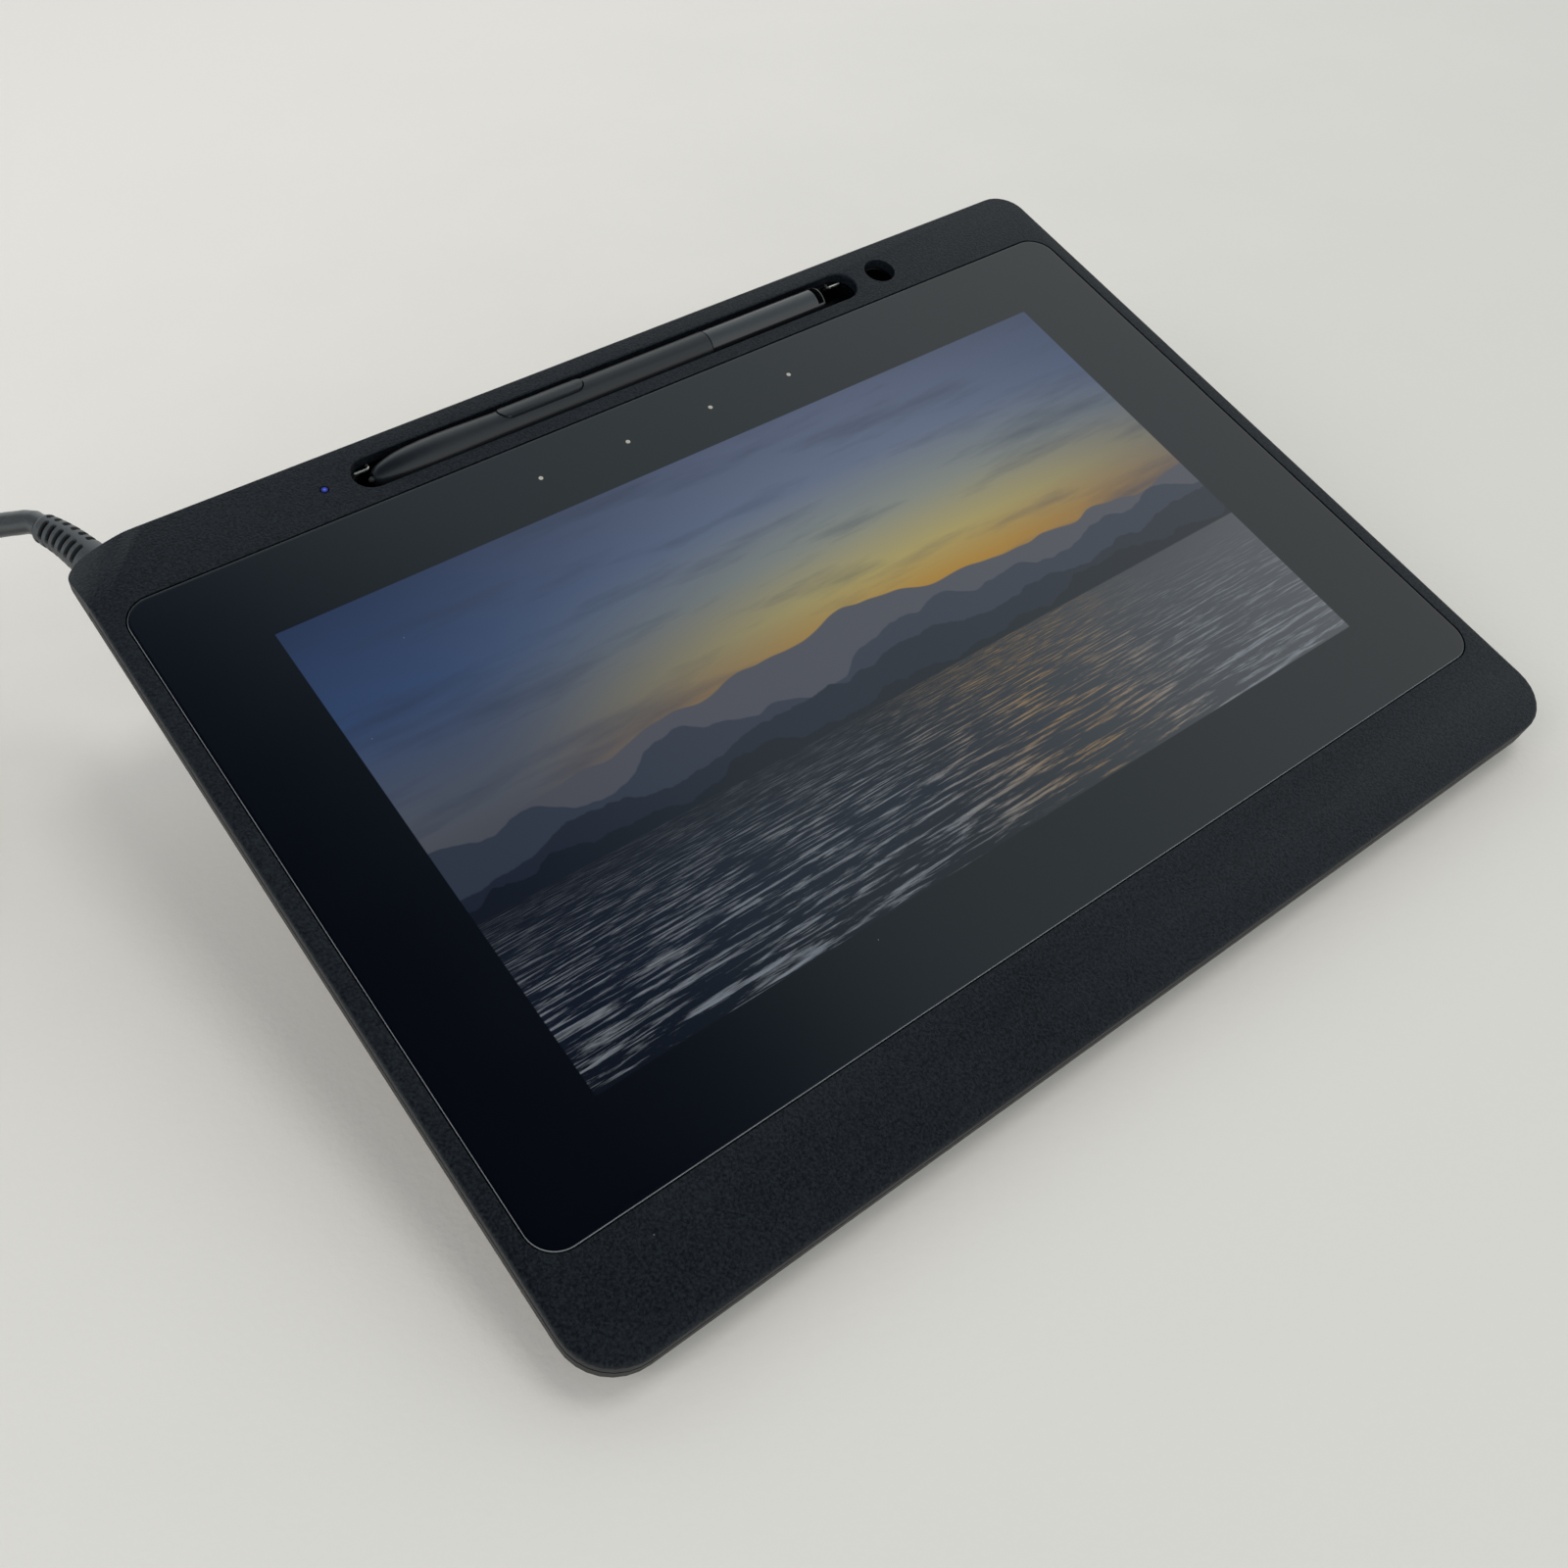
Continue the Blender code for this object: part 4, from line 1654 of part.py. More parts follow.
def build_plug(start, way):
    """Moulded plug body with a neck, and its sheet-metal shell."""
    turn = (0.0, 0.0, PLUG_DIRECTION)
    height = start[2]
    body_middle = start + way * (PLUG_NECK_LENGTH + PLUG_BODY_LENGTH / 2.0)
    body = box(
        "plug_body", (PLUG_BODY_LENGTH, PLUG_BODY_WIDTH, PLUG_BODY_HEIGHT), body_middle, None,
        "cable_jacket", turn=turn,
    )
    bevel_edges(body, PLUG_BODY_EDGE)
    neck_middle = start + way * ((PLUG_NECK_LENGTH + PLUG_BODY_EDGE * 2.0) / 2.0)
    half_neck = (PLUG_NECK_LENGTH + PLUG_BODY_EDGE * 2.0) / 2.0
    join(body, cylinder(
        "plug_neck", PLUG_NECK_RADIUS, -half_neck, half_neck, neck_middle, None,
        steps=SMALL_ROUND_STEPS, turn=(0.0, math.pi / 2.0, PLUG_DIRECTION),
    ))
    shell_start = PLUG_NECK_LENGTH + PLUG_BODY_LENGTH + FIT_GAP
    shell_middle = start + way * (shell_start + PLUG_SHELL_LENGTH / 2.0)
    shell = box(
        "plug_shell", (PLUG_SHELL_LENGTH, PLUG_SHELL_WIDTH, PLUG_SHELL_HEIGHT), shell_middle, None,
        "steel", turn=turn,
    )
    mouth_height = PLUG_SHELL_HEIGHT - 2.0 * PLUG_SHELL_WALL - PLUG_TONGUE_HEIGHT
    mouth = np.array((0.0, 0.0, PLUG_TONGUE_HEIGHT / 2.0)) + way * PLUG_SHELL_WALL
    cut(shell, box(
        "plug_mouth", (PLUG_SHELL_LENGTH, PLUG_SHELL_WIDTH - 2.0 * PLUG_SHELL_WALL, mouth_height),
        tuple(shell_middle + mouth + way * PLUG_SHELL_WALL), None, turn=turn,
    ))
    return height


def main():
    """Build the whole pad."""
    global PARTS, CUTTERS
    clear_scene()
    PARTS = new_collection("signature_pad")
    CUTTERS = new_collection("cutters")
    make_materials()
    frame = bpy.data.objects.new("case_frame", None)
    place(frame, None, None)
    frame.rotation_euler = (TILT, 0.0, 0.0)
    frame.location = (0.0, CASE_SHIFT_Y, GLASS_HEIGHT)
    build_top_cover(frame)
    build_bottom_cover(frame)
    build_cable_cover(frame)
    build_glass_and_screen(frame)
    build_keys(frame)
    build_status_light(frame)
    build_power_button(frame)
    build_main_board(frame)
    build_tray(frame)
    build_pen_cup(frame)
    build_lock_plate(frame)
    build_screws(frame)
    build_inserts(frame)
    build_stand(frame)
    build_feet()
    build_pen(frame)
    build_inner_lead(frame)
    build_strain_relief()
    build_cable()
    bpy.context.view_layer.update()


main()
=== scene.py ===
"""Looks of a desk signature pad: a pen display on a wedge stand, with its pen and its lead.

Lengths are in metres and +Z is up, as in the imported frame. The case leans back on its stand, so
most places are written in the case's own frame: origin at the middle of the outline on the top
face of the glass, +X to the right, +Y to the rear, +Z out of the glass.
"""
import logging
import math
from dataclasses import dataclass, field
from enum import Enum

import bmesh
import bpy
import numpy as np
from bpy.types import NodeSocket, NodeTree
from mathutils import Matrix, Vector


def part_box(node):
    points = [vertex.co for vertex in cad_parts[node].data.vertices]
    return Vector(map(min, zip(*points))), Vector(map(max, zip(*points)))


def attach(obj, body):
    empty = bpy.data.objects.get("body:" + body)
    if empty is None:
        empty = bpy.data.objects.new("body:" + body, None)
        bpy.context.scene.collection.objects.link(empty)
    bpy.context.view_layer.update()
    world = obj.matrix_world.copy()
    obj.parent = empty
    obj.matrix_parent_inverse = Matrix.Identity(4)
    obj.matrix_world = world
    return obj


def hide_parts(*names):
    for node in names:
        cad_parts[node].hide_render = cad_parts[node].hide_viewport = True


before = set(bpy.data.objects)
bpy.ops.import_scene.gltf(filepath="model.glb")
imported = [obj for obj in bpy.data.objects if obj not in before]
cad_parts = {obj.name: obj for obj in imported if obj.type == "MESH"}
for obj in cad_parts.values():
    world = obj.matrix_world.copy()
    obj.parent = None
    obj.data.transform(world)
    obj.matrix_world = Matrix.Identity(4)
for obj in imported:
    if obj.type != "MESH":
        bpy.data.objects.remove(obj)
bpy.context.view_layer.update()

LOG = logging.getLogger("signature_pad")
MILLIMETRE = 0.001
# Nearly all values of a noise texture lie between these two
NOISE_LOW = 0.3
NOISE_HIGH = 0.7

Point = tuple[float, float, float]
Colour = tuple[float, float, float, float]
# Places along a colour ramp, from nought to one, each with its sRGB hex colour
Stops = tuple[tuple[float, str], ...]
# What the inputs of a shader take, by their names
Inputs = dict[str, object]


# Frames, colours and nodes


@dataclass(frozen=True)
class CaseFrame:
    """The frame of the leaning case, set on the table."""

    tilt: float = math.radians(15.0)
    shift_y: float = -0.0010313
    glass_height: float = 0.0381790

    def turn(self) -> np.ndarray:
        """Turn about X by the tilt, as a 3 by 3 matrix."""
        cosine, sine = math.cos(self.tilt), math.sin(self.tilt)
        return np.array(((1.0, 0.0, 0.0), (0.0, cosine, -sine), (0.0, sine, cosine)))

    def on_table(self, points: np.ndarray | Point) -> np.ndarray:
        """Points of the case frame, in the frame of the table: turned, then moved."""
        origin = np.array((0.0, self.shift_y, self.glass_height))
        return np.asarray(points, dtype=float) @ self.turn().T + origin


CASE_FRAME = CaseFrame()


def linear(code: str, share: float = 1.0) -> Colour:
    """An sRGB hex colour as linear red, green, blue and an alpha of one.

    As the sRGB curve says, a tone up to 0.04045 is divided by 12.92, and a brighter one is
    raised by 0.055, divided by 1.055 and taken to the power 2.4.

    Args:
        code: six hex digits, with or without a hash sign.
        share: what the three are multiplied by.

    Returns:
        Four numbers for a shader's colour socket.
    """
    digits = code.lstrip("#")
    tones = [int(digits[place:place + 2], 16) / 255.0 for place in (0, 2, 4)]
    light = [t / 12.92 if t <= 0.04045 else ((t + 0.055) / 1.055) ** 2.4 for t in tones]
    return (share * light[0], share * light[1], share * light[2], 1.0)


def toned(stops: Stops) -> list[tuple[float, Colour]]:
    """Stops of a colour ramp with their hex colours made linear."""
    return [(place, linear(code)) for place, code in stops]


def per_metre(size_mm: float) -> float:
    """Scale of a texture whose features are a size in millimetres across."""
    return 1.0 / (size_mm * MILLIMETRE)


def add_node(tree: NodeTree, kind: str, inputs: dict | None = None, out: int | str = 0,
             stops: list[tuple[float, Colour]] | None = None,
             **settings: object) -> NodeSocket | None:
    """Add one node to a tree and give back one of its outputs.

    Args:
        tree: the node tree.
        kind: the node's type name without its leading "ShaderNode".
        inputs: what each input takes, by its name or number. The output of another node is
            linked; a number, colour or vector is set on the socket.
        out: name or number of the output that is wanted.
        stops: (place, linear colour) pairs, for a colour ramp.
        settings: attributes of the node.

    Returns:
        The wanted output, or None where the node has no output.
    """
    node = tree.nodes.new("ShaderNode" + kind)
    for name, value in settings.items():
        setattr(node, name, value)
    for place, term in (inputs or {}).items():
        if isinstance(term, NodeSocket):
            tree.links.new(term, node.inputs[place])
        else:
            node.inputs[place].default_value = term
    if stops:
        band = node.color_ramp.elements
        while len(band) < len(stops):
            band.new(0.5)
        for element, (place, colour) in zip(band, stops):
            element.position = place
            element.color = colour
    return node.outputs[out] if len(node.outputs) else None


@dataclass(frozen=True)
class Dust:
    """Sparse pale specks of dust; one cell in a few holds a speck of about 0.12 mm radius."""

    colour: str = "#b9b8b0"
    cell_mm: float = 9.0
    cells_with_speck: float = 0.22
    # where a speck starts to fade and where it ends, in cells from the cell's own point
    fade_start: float = 0.010
    fade_end: float = 0.017

    def over(self, tree: NodeTree, place: NodeSocket, colour: NodeSocket,
             amount: float) -> NodeSocket:
        """Specks of dust over a colour.

        The cell's own random colour picks it, and the distance from the cell's point gives the
        speck its radius.

        Args:
            tree: the node tree.
            place: Object coordinates.
            colour: what the dust lies on.
            amount: how much of that a speck hides, from nought to one.

        Returns:
            The dusted colour.
        """
        cells = {"Vector": place, "Scale": per_metre(self.cell_mm)}
        away = add_node(tree, "TexVoronoi", cells, "Distance")
        chance = add_node(tree, "SeparateColor", {0: add_node(tree, "TexVoronoi", cells, "Color")})
        near = add_node(tree, "MapRange", {
            "Value": away, "From Min": self.fade_start, "From Max": self.fade_end,
            "To Min": amount, "To Max": 0.0,
        })
        some = add_node(tree, "Math", {0: chance, 1: self.cells_with_speck}, operation="LESS_THAN")
        specks = add_node(tree, "Math", {0: near, 1: some}, operation="MULTIPLY")
        return add_node(tree, "Mix", {0: specks, 6: colour, 7: linear(self.colour)}, 2,
                        data_type="RGBA")


DUST = Dust()


# Finishes


@dataclass(frozen=True)
class Finish:
    """What a surface is made of; each kind gives its shader its own inputs."""

    name: str

    def material(self) -> bpy.types.Material:
        """The material of this finish, made once and shared.

        Returns:
            The material, whose shader takes what sockets() says.
        """
        made = bpy.data.materials.get(self.name)
        if made is None:
            made = bpy.data.materials.new(self.name)
            made.use_nodes = True
            tree = made.node_tree
            tree.nodes.clear()
            place = add_node(tree, "TexCoord", out="Object")
            shader = add_node(tree, "BsdfPrincipled", self.sockets(tree, place))
            add_node(tree, "OutputMaterial", {"Surface": shader})
        return made

    def sockets(self, tree: NodeTree, place: NodeSocket) -> Inputs:
        """Inputs of the shader; each kind of finish has its own.

        Args:
            tree: the material's node tree.
            place: the surface's Object coordinates.

        Returns:
            What the shader's inputs take.
        """
        raise NotImplementedError


@dataclass(frozen=True)
class MouldedPlastic(Finish):
    """Injection moulded plastic or rubber with the grain of its mould."""

    dark: str
    light: str
    grain_mm: float
    grain_depth_mm: float
    roughness: float
    gloss: float
    dust: float = 0.0
    # slow changes over the piece: their size, and what they add to the grain's tone
    slow_mm: float = 45.0
    slow_weight: float = 0.25
    # the sum of both at the dark tone and at the light one
    dark_at: float = 0.45
    light_at: float = 0.80
    # how far the roughness falls and rises with the slow changes
    smoother: float = 0.03
    rougher: float = 0.04

    def sockets(self, tree: NodeTree, place: NodeSocket) -> Inputs:
        """Two near colours by grain, roughness that varies slowly, and the grain's bump.

        Args:
            tree: the material's node tree.
            place: the surface's Object coordinates.

        Returns:
            What the shader's inputs take.
        """
        grain = add_node(tree, "TexNoise", {
            "Vector": place, "Scale": per_metre(self.grain_mm), "Detail": 2.0, "Roughness": 0.6,
        })
        slow = add_node(tree, "TexNoise", {
            "Vector": place, "Scale": per_metre(self.slow_mm), "Detail": 3.0, "Roughness": 0.55,
        })
        mixed = add_node(tree, "Math", {0: slow, 1: self.slow_weight, 2: grain},
                         operation="MULTIPLY_ADD")
        share = add_node(tree, "MapRange", {
            "Value": mixed, "From Min": self.dark_at, "From Max": self.light_at,
        })
        colour = add_node(tree, "Mix", {0: share, 6: linear(self.dark), 7: linear(self.light)}, 2,
                          data_type="RGBA")
        if self.dust > 0.0:
            colour = DUST.over(tree, place, colour, self.dust)
        rough = add_node(tree, "MapRange", {
            "Value": slow, "From Min": NOISE_LOW, "From Max": NOISE_HIGH,
            "To Min": self.roughness - self.smoother, "To Max": self.roughness + self.rougher,
        })
        bump = add_node(tree, "Bump", {
            "Height": grain, "Strength": 1.0, "Distance": self.grain_depth_mm * MILLIMETRE,
        })
        return {"Base Color": colour, "Roughness": rough, "Normal": bump,
                "Specular IOR Level": self.gloss}


@dataclass(frozen=True)
class SlottedPlastic(MouldedPlastic):
    """The same for a sleeve with slots, made black inside by painted shade; the mesh says where."""

    # the near black of the painted shade in the slots
    shade: str = "#040404"

    def sockets(self, tree: NodeTree, place: NodeSocket) -> Inputs:
        """The plastic's inputs, with painted shade hiding its colour as far as the slot goes.

        Args:
            tree: the material's node tree.
            place: the surface's Object coordinates.

        Returns:
            What the shader's inputs take.
        """
        inputs = super().sockets(tree, place)
        # painted shade: the slots darkened by their depth, which the mesh keeps
        painted_slot_shade = add_node(tree, "Attribute", out="Fac", attribute_name="painted_slot_shade")
        inputs["Base Color"] = add_node(tree, "Mix", {
            0: painted_slot_shade, 6: inputs["Base Color"], 7: linear(self.shade),
        }, 2, data_type="RGBA")
        return inputs


@dataclass(frozen=True)
class Metal(Finish):
    """Bare or plated metal, drawn or stamped, with fine scratches one way."""

    colour: str
    roughness: float
    scratch_mm: float
    # how many times longer than wide the scratches are
    stretch: float = 12.0
    scratch_depth_mm: float = 0.01
    # the darkest part's share of the colour
    dull_share: float = 0.86
    smoother: float = 0.07
    rougher: float = 0.09

    def sockets(self, tree: NodeTree, place: NodeSocket) -> Inputs:
        """Near even colour, with roughness and a little bump from noise stretched along X.

        The noise's own size is the width of a scratch times the stretch; the mapping packs it
        that much closer across the scratches.

        Args:
            tree: the material's node tree.
            place: the surface's Object coordinates.

        Returns:
            What the shader's inputs take.
        """
        drawn = add_node(tree, "Mapping", {
            "Vector": place, "Scale": (1.0, self.stretch, self.stretch),
        })
        lines = add_node(tree, "TexNoise", {
            "Vector": drawn, "Scale": per_metre(self.stretch * self.scratch_mm), "Detail": 2.0,
        })
        colour = add_node(tree, "ValToRGB", {"Fac": lines}, stops=[
            (NOISE_LOW, linear(self.colour, self.dull_share)),
            (NOISE_HIGH, linear(self.colour)),
        ])
        rough = add_node(tree, "MapRange", {
            "Value": lines,
            "To Min": self.roughness - self.smoother, "To Max": self.roughness + self.rougher,
        })
        bump = add_node(tree, "Bump", {
            "Height": lines, "Strength": 0.35, "Distance": self.scratch_depth_mm * MILLIMETRE,
        })
        return {"Base Color": colour, "Roughness": rough, "Normal": bump, "Metallic": 1.0}


@dataclass(frozen=True)
class Laminate(Finish):
    """Circuit board or film: a coloured lacquer over copper tracks."""

    lacquer: str
    track: str
    pitch_mm: float
    roughness: float
    # where a track starts to fade and where it ends, in pitches from its middle
    fade_start: float = 0.05
    fade_end: float = 0.10
    track_height_mm: float = 0.03

    def sockets(self, tree: NodeTree, place: NodeSocket) -> Inputs:
        """Tracks run where a cell pattern's distance to its edges is small.

        Args:
            tree: the material's node tree.
            place: the surface's Object coordinates.

        Returns:
            What the shader's inputs take.
        """
        edge = add_node(tree, "TexVoronoi", {
            "Vector": place, "Scale": per_metre(self.pitch_mm), "Randomness": 0.55,
        }, feature="DISTANCE_TO_EDGE")
        line = add_node(tree, "MapRange", {
            "Value": edge, "From Min": self.fade_start, "From Max": self.fade_end,
            "To Min": 1.0, "To Max": 0.0,
        })
        colour = add_node(tree, "Mix", {0: line, 6: linear(self.lacquer), 7: linear(self.track)},
                          2, data_type="RGBA")
        bump = add_node(tree, "Bump", {
            "Height": line, "Strength": 0.6, "Distance": self.track_height_mm * MILLIMETRE,
        })
        return {"Base Color": colour, "Normal": bump, "Roughness": self.roughness}


@dataclass(frozen=True)
class Glow(Finish):
    """Moulded lens or lit sheet that gives a little light of its own."""

    body: str
    light: str
    strength: float
    roughness: float
    cloud_mm: float = 0.9
    # the share of the colour in the dimmest clouds
    dim_share: float = 0.83

    def sockets(self, tree: NodeTree, place: NodeSocket) -> Inputs:
        """A clouded colour, and the same clouds in the light that it gives.

        Args:
            tree: the material's node tree.
            place: the surface's Object coordinates.

        Returns:
            What the shader's inputs take.
        """
        cloud = add_node(tree, "TexNoise", {
            "Vector": place, "Scale": per_metre(self.cloud_mm), "Detail": 2.0,
        })
        body, light = (add_node(tree, "ValToRGB", {"Fac": cloud}, stops=[
            (0.25, linear(code, self.dim_share)), (0.75, linear(code)),
        ]) for code in (self.body, self.light))
        return {"Base Color": body, "Emission Color": light, "Emission Strength": self.strength,
                "Roughness": self.roughness}


@dataclass(frozen=True)
class LitDot(Finish):
    """Small lens over a lamp: bright at its middle and deep in colour at its rim."""

    middle: Point = (-0.0825, 0.0958, 0.0)
    radius_mm: float = 0.8
    body: str = "#05060c"
    rings: Stops = ((0.0, "#5a6cf0"), (0.35, "#3343b8"), (0.75, "#141c70"), (1.0, "#0a0e38"))
    roughness: float = 0.3

    def sockets(self, tree: NodeTree, place: NodeSocket) -> Inputs:
        """Colour by the distance from the lens's middle, in radii.

        Args:
            tree: the material's node tree.
            place: the surface's Object coordinates.

        Returns:
            What the shader's inputs take.
        """
        around = add_node(tree, "Mapping", {
            "Vector": place, "Location": tuple(CASE_FRAME.on_table(self.middle)),
            "Scale": (self.radius_mm * MILLIMETRE,) * 3,
        }, vector_type="TEXTURE")
        away = add_node(tree, "VectorMath", {0: around}, "Value", operation="LENGTH")
        glow = add_node(tree, "ValToRGB", {"Fac": away}, stops=toned(self.rings))
        return {"Base Color": linear(self.body), "Emission Color": glow, "Emission Strength": 1.0,
                "Roughness": self.roughness}


@dataclass(frozen=True)
class Ridge:
    """One line of hills in the picture, from a noise along X.

    Base and swing are heights in the picture's unit, pitch is how many rolls of the noise a
    unit has, seed says which noise it is and detail how rough.
    """

    base: float
    swing: float
    pitch: float
    seed: float
    detail: float
    colour: str


@dataclass(frozen=True)
class EveningPicture:
    """The lit picture: a plain evening landscape of sky, four lines of hills and a lake.

    Its places are in tenths of a metre from its own middle: x to the right, height upwards.
    """

    shore: float = -0.20
    top: float = 0.63
    # how softly hills and shore end, upwards
    soft: float = 0.004
    # the warm glow above the hills: its middle and how far it reaches to either side
    glow_x: float = 0.30
    glow_core: float = 0.05
    glow_reach_sky: float = 1.25
    glow_reach_lake: float = 0.45
    cold_sky: Stops = ((0.0, "#3a3637"), (0.30, "#474c55"), (0.65, "#2c3f61"), (1.0, "#1e2c4a"))
    warm_sky: Stops = (
        (0.0, "#7a4a1a"), (0.26, "#9a741f"), (0.38, "#978a52"), (0.54, "#74786f"),
        (0.74, "#525d74"), (1.0, "#414962"),
    )
    cloud: str = "#262d40"
    # how many times longer than high the clouds are, the noise at which they start and are
    # full, and how much of the sky a full one hides
    cloud_stretch: float = 7.0
    cloud_start: float = 0.50
    cloud_full: float = 0.72
    cloud_cover: float = 0.60
    ridges: tuple[Ridge, ...] = (
        Ridge(-0.20, 0.44, 1.6, 3.0, 3.0, "#44454d"),
        Ridge(-0.22, 0.34, 2.4, 7.5, 4.0, "#2a303d"),
        Ridge(-0.24, 0.27, 3.1, 12.5, 5.0, "#171c28"),
        Ridge(-0.235, 0.14, 7.0, 18.5, 8.0, "#0a0e16"),
    )
    lake_depth: float = 0.43
    # what the slant of the water is measured from, and how flat its ripples lie
    eye_rise: float = 0.16
    ripple_stretch: float = 9.0
    deep_water: Stops = ((0.0, "#0a0d14"), (0.18, "#0c111a"), (0.55, "#0a101c"), (1.0, "#05080f"))
    # the ripples' crests: the noise at which they start and are full, and how pale they get
    crests: Stops = ((0.0, "#34373d"), (0.4, "#6a6e74"), (1.0, "#757b82"))
    crest_start: float = 0.51
    crest_full: float = 0.62
    crest_cover: float = 0.85
    # their colour under the glow, and its share there
    warm_crest: str = "#8a6a34"
    warm_share: float = 0.8
    # the paler sheen to the right: where along X it starts and is full, and its share there
    sheen: str = "#53565a"
    sheen_start: float = -0.1
    sheen_full: float = 1.3
    sheen_cover: float = 0.75

    def from_glow(self, tree: NodeTree, x: NodeSocket) -> NodeSocket:
        """How far a place is from the glow's middle, to either side."""
        aside = add_node(tree, "Math", {0: x, 1: self.glow_x}, operation="SUBTRACT")
        return add_node(tree, "Math", {0: aside}, operation="ABSOLUTE")

    def sky(self, tree: NodeTree, x: NodeSocket, height: NodeSocket) -> NodeSocket:
        """Evening sky: cold bands of colour by height, mixed with warm ones near the glow.

        Flat clouds lie over it, from noise that is stretched along X.

        Args:
            tree: the material's node tree.
            x: place to the right of the picture's middle.
            height: place above it.

        Returns:
            The sky's colour.
        """
        rise = add_node(tree, "MapRange", {
            "Value": height, "From Min": self.shore, "From Max": self.top,
        })
        cold = add_node(tree, "ValToRGB", {"Fac": rise}, stops=toned(self.cold_sky))
        warm = add_node(tree, "ValToRGB", {"Fac": rise}, stops=toned(self.warm_sky))
        near = add_node(tree, "MapRange", {
            "Value": self.from_glow(tree, x),
            "From Min": self.glow_core, "From Max": self.glow_reach_sky,
            "To Min": 1.0, "To Max": 0.0,
        }, interpolation_type="SMOOTHSTEP")
        clear = add_node(tree, "Mix", {0: near, 6: cold, 7: warm}, 2, data_type="RGBA")
        lifted = add_node(tree, "Math", {0: height, 1: self.cloud_stretch}, operation="MULTIPLY")
        flat = add_node(tree, "CombineXYZ", {"X": x, "Y": lifted})
        streaks = add_node(tree, "TexNoise", {
            "Vector": flat, "Scale": 1.6, "Detail": 5.0, "Roughness": 0.55,
        })
        cloudy = add_node(tree, "MapRange", {
            "Value": streaks, "From Min": self.cloud_start, "From Max": self.cloud_full,
            "To Max": self.cloud_cover,
        })
        return add_node(tree, "Mix", {0: cloudy, 6: clear, 7: linear(self.cloud)}, 2,
                        data_type="RGBA")

    def below_ridge(self, tree: NodeTree, x: NodeSocket, height: NodeSocket,
                    ridge: Ridge) -> NodeSocket:
        """One where a ridge hides what is behind it.

        The ridge's line is its base plus its swing times a slow noise along X.

        Args:
            tree: the material's node tree.
            x: place to the right of the picture's middle.
            height: place above it.
            ridge: the line of hills.

        Returns:
            A number from nought to one.
        """
        line = add_node(tree, "CombineXYZ", {"X": x, "Y": ridge.seed})
        roll = add_node(tree, "TexNoise", {
            "Vector": line, "Scale": ridge.pitch, "Detail": ridge.detail, "Roughness": 0.46,
        })
        top = add_node(tree, "Math", {0: roll, 1: ridge.swing, 2: ridge.base},
                       operation="MULTIPLY_ADD")
        under = add_node(tree, "Math", {0: top, 1: height}, operation="SUBTRACT")
        return add_node(tree, "MapRange", {"Value": under, "From Min": 0.0, "From Max": self.soft})

    def lake(self, tree: NodeTree, x: NodeSocket, height: NodeSocket) -> NodeSocket:
        """Still water with long thin ripples that grow towards the front edge.

        Level water is seen at a slant: across is X over depth and along is one over depth, so
        noise that is even in those two lies flat. It is warm under the glow, and paler to the
        right.

        Args:
            tree: the material's node tree.
            x: place to the right of the picture's middle.
            height: place above it.

        Returns:
            The water's colour.
        """
        depth = add_node(tree, "Math", {0: self.shore, 1: height}, operation="SUBTRACT")
        deep = add_node(tree, "MapRange", {"Value": depth, "From Max": self.lake_depth})
        slant = add_node(tree, "Math", {0: depth, 1: self.eye_rise}, operation="ADD")
        across = add_node(tree, "Math", {0: x, 1: slant}, operation="DIVIDE")
        along = add_node(tree, "Math", {0: self.ripple_stretch, 1: slant}, operation="DIVIDE")
        spot = add_node(tree, "CombineXYZ", {"X": across, "Y": along})
        ripple = add_node(tree, "TexNoise", {
            "Vector": spot, "Scale": 2.3, "Detail": 7.0, "Roughness": 0.68, "Distortion": 0.35,
        })
        crest = add_node(tree, "MapRange", {
            "Value": ripple, "From Min": self.crest_start, "From Max": self.crest_full,
            "To Max": self.crest_cover,
        })
        dark = add_node(tree, "ValToRGB", {"Fac": deep}, stops=toned(self.deep_water))
        paler = add_node(tree, "MapRange", {
            "Value": x, "From Min": self.sheen_start, "From Max": self.sheen_full,
            "To Max": self.sheen_cover,
        })
        body = add_node(tree, "Mix", {0: paler, 6: dark, 7: linear(self.sheen)}, 2,
                        data_type="RGBA")
        pale = add_node(tree, "ValToRGB", {"Fac": deep}, stops=toned(self.crests))
        near = add_node(tree, "MapRange", {
            "Value": self.from_glow(tree, x),
            "From Min": self.glow_core, "From Max": self.glow_reach_lake,
            "To Min": self.warm_share, "To Max": 0.0,
        })
        tinted = add_node(tree, "Mix", {0: near, 6: pale, 7: linear(self.warm_crest)}, 2,
                          data_type="RGBA")
        return add_node(tree, "Mix", {0: crest, 6: body, 7: tinted}, 2, data_type="RGBA")

    def colour(self, tree: NodeTree, x: NodeSocket, height: NodeSocket) -> NodeSocket:
        """The whole picture: sky, ridges from the farthest to the nearest, and the lake.

        Args:
            tree: the material's node tree.
            x: place to the right of the picture's middle.
            height: place above it.

        Returns:
            The picture's colour at each place.
        """
        seen = self.sky(tree, x, height)
        for ridge in self.ridges:
            hidden = self.below_ridge(tree, x, height, ridge)
            seen = add_node(tree, "Mix", {0: hidden, 6: seen, 7: linear(ridge.colour)}, 2,
                            data_type="RGBA")
        below = add_node(tree, "MapRange", {
            "Value": height, "From Min": self.shore - self.soft, "From Max": self.shore,
            "To Min": 1.0, "To Max": 0.0,
        })
        return add_node(tree, "Mix", {0: below, 6: seen, 7: self.lake(tree, x, height)}, 2,
                        data_type="RGBA")


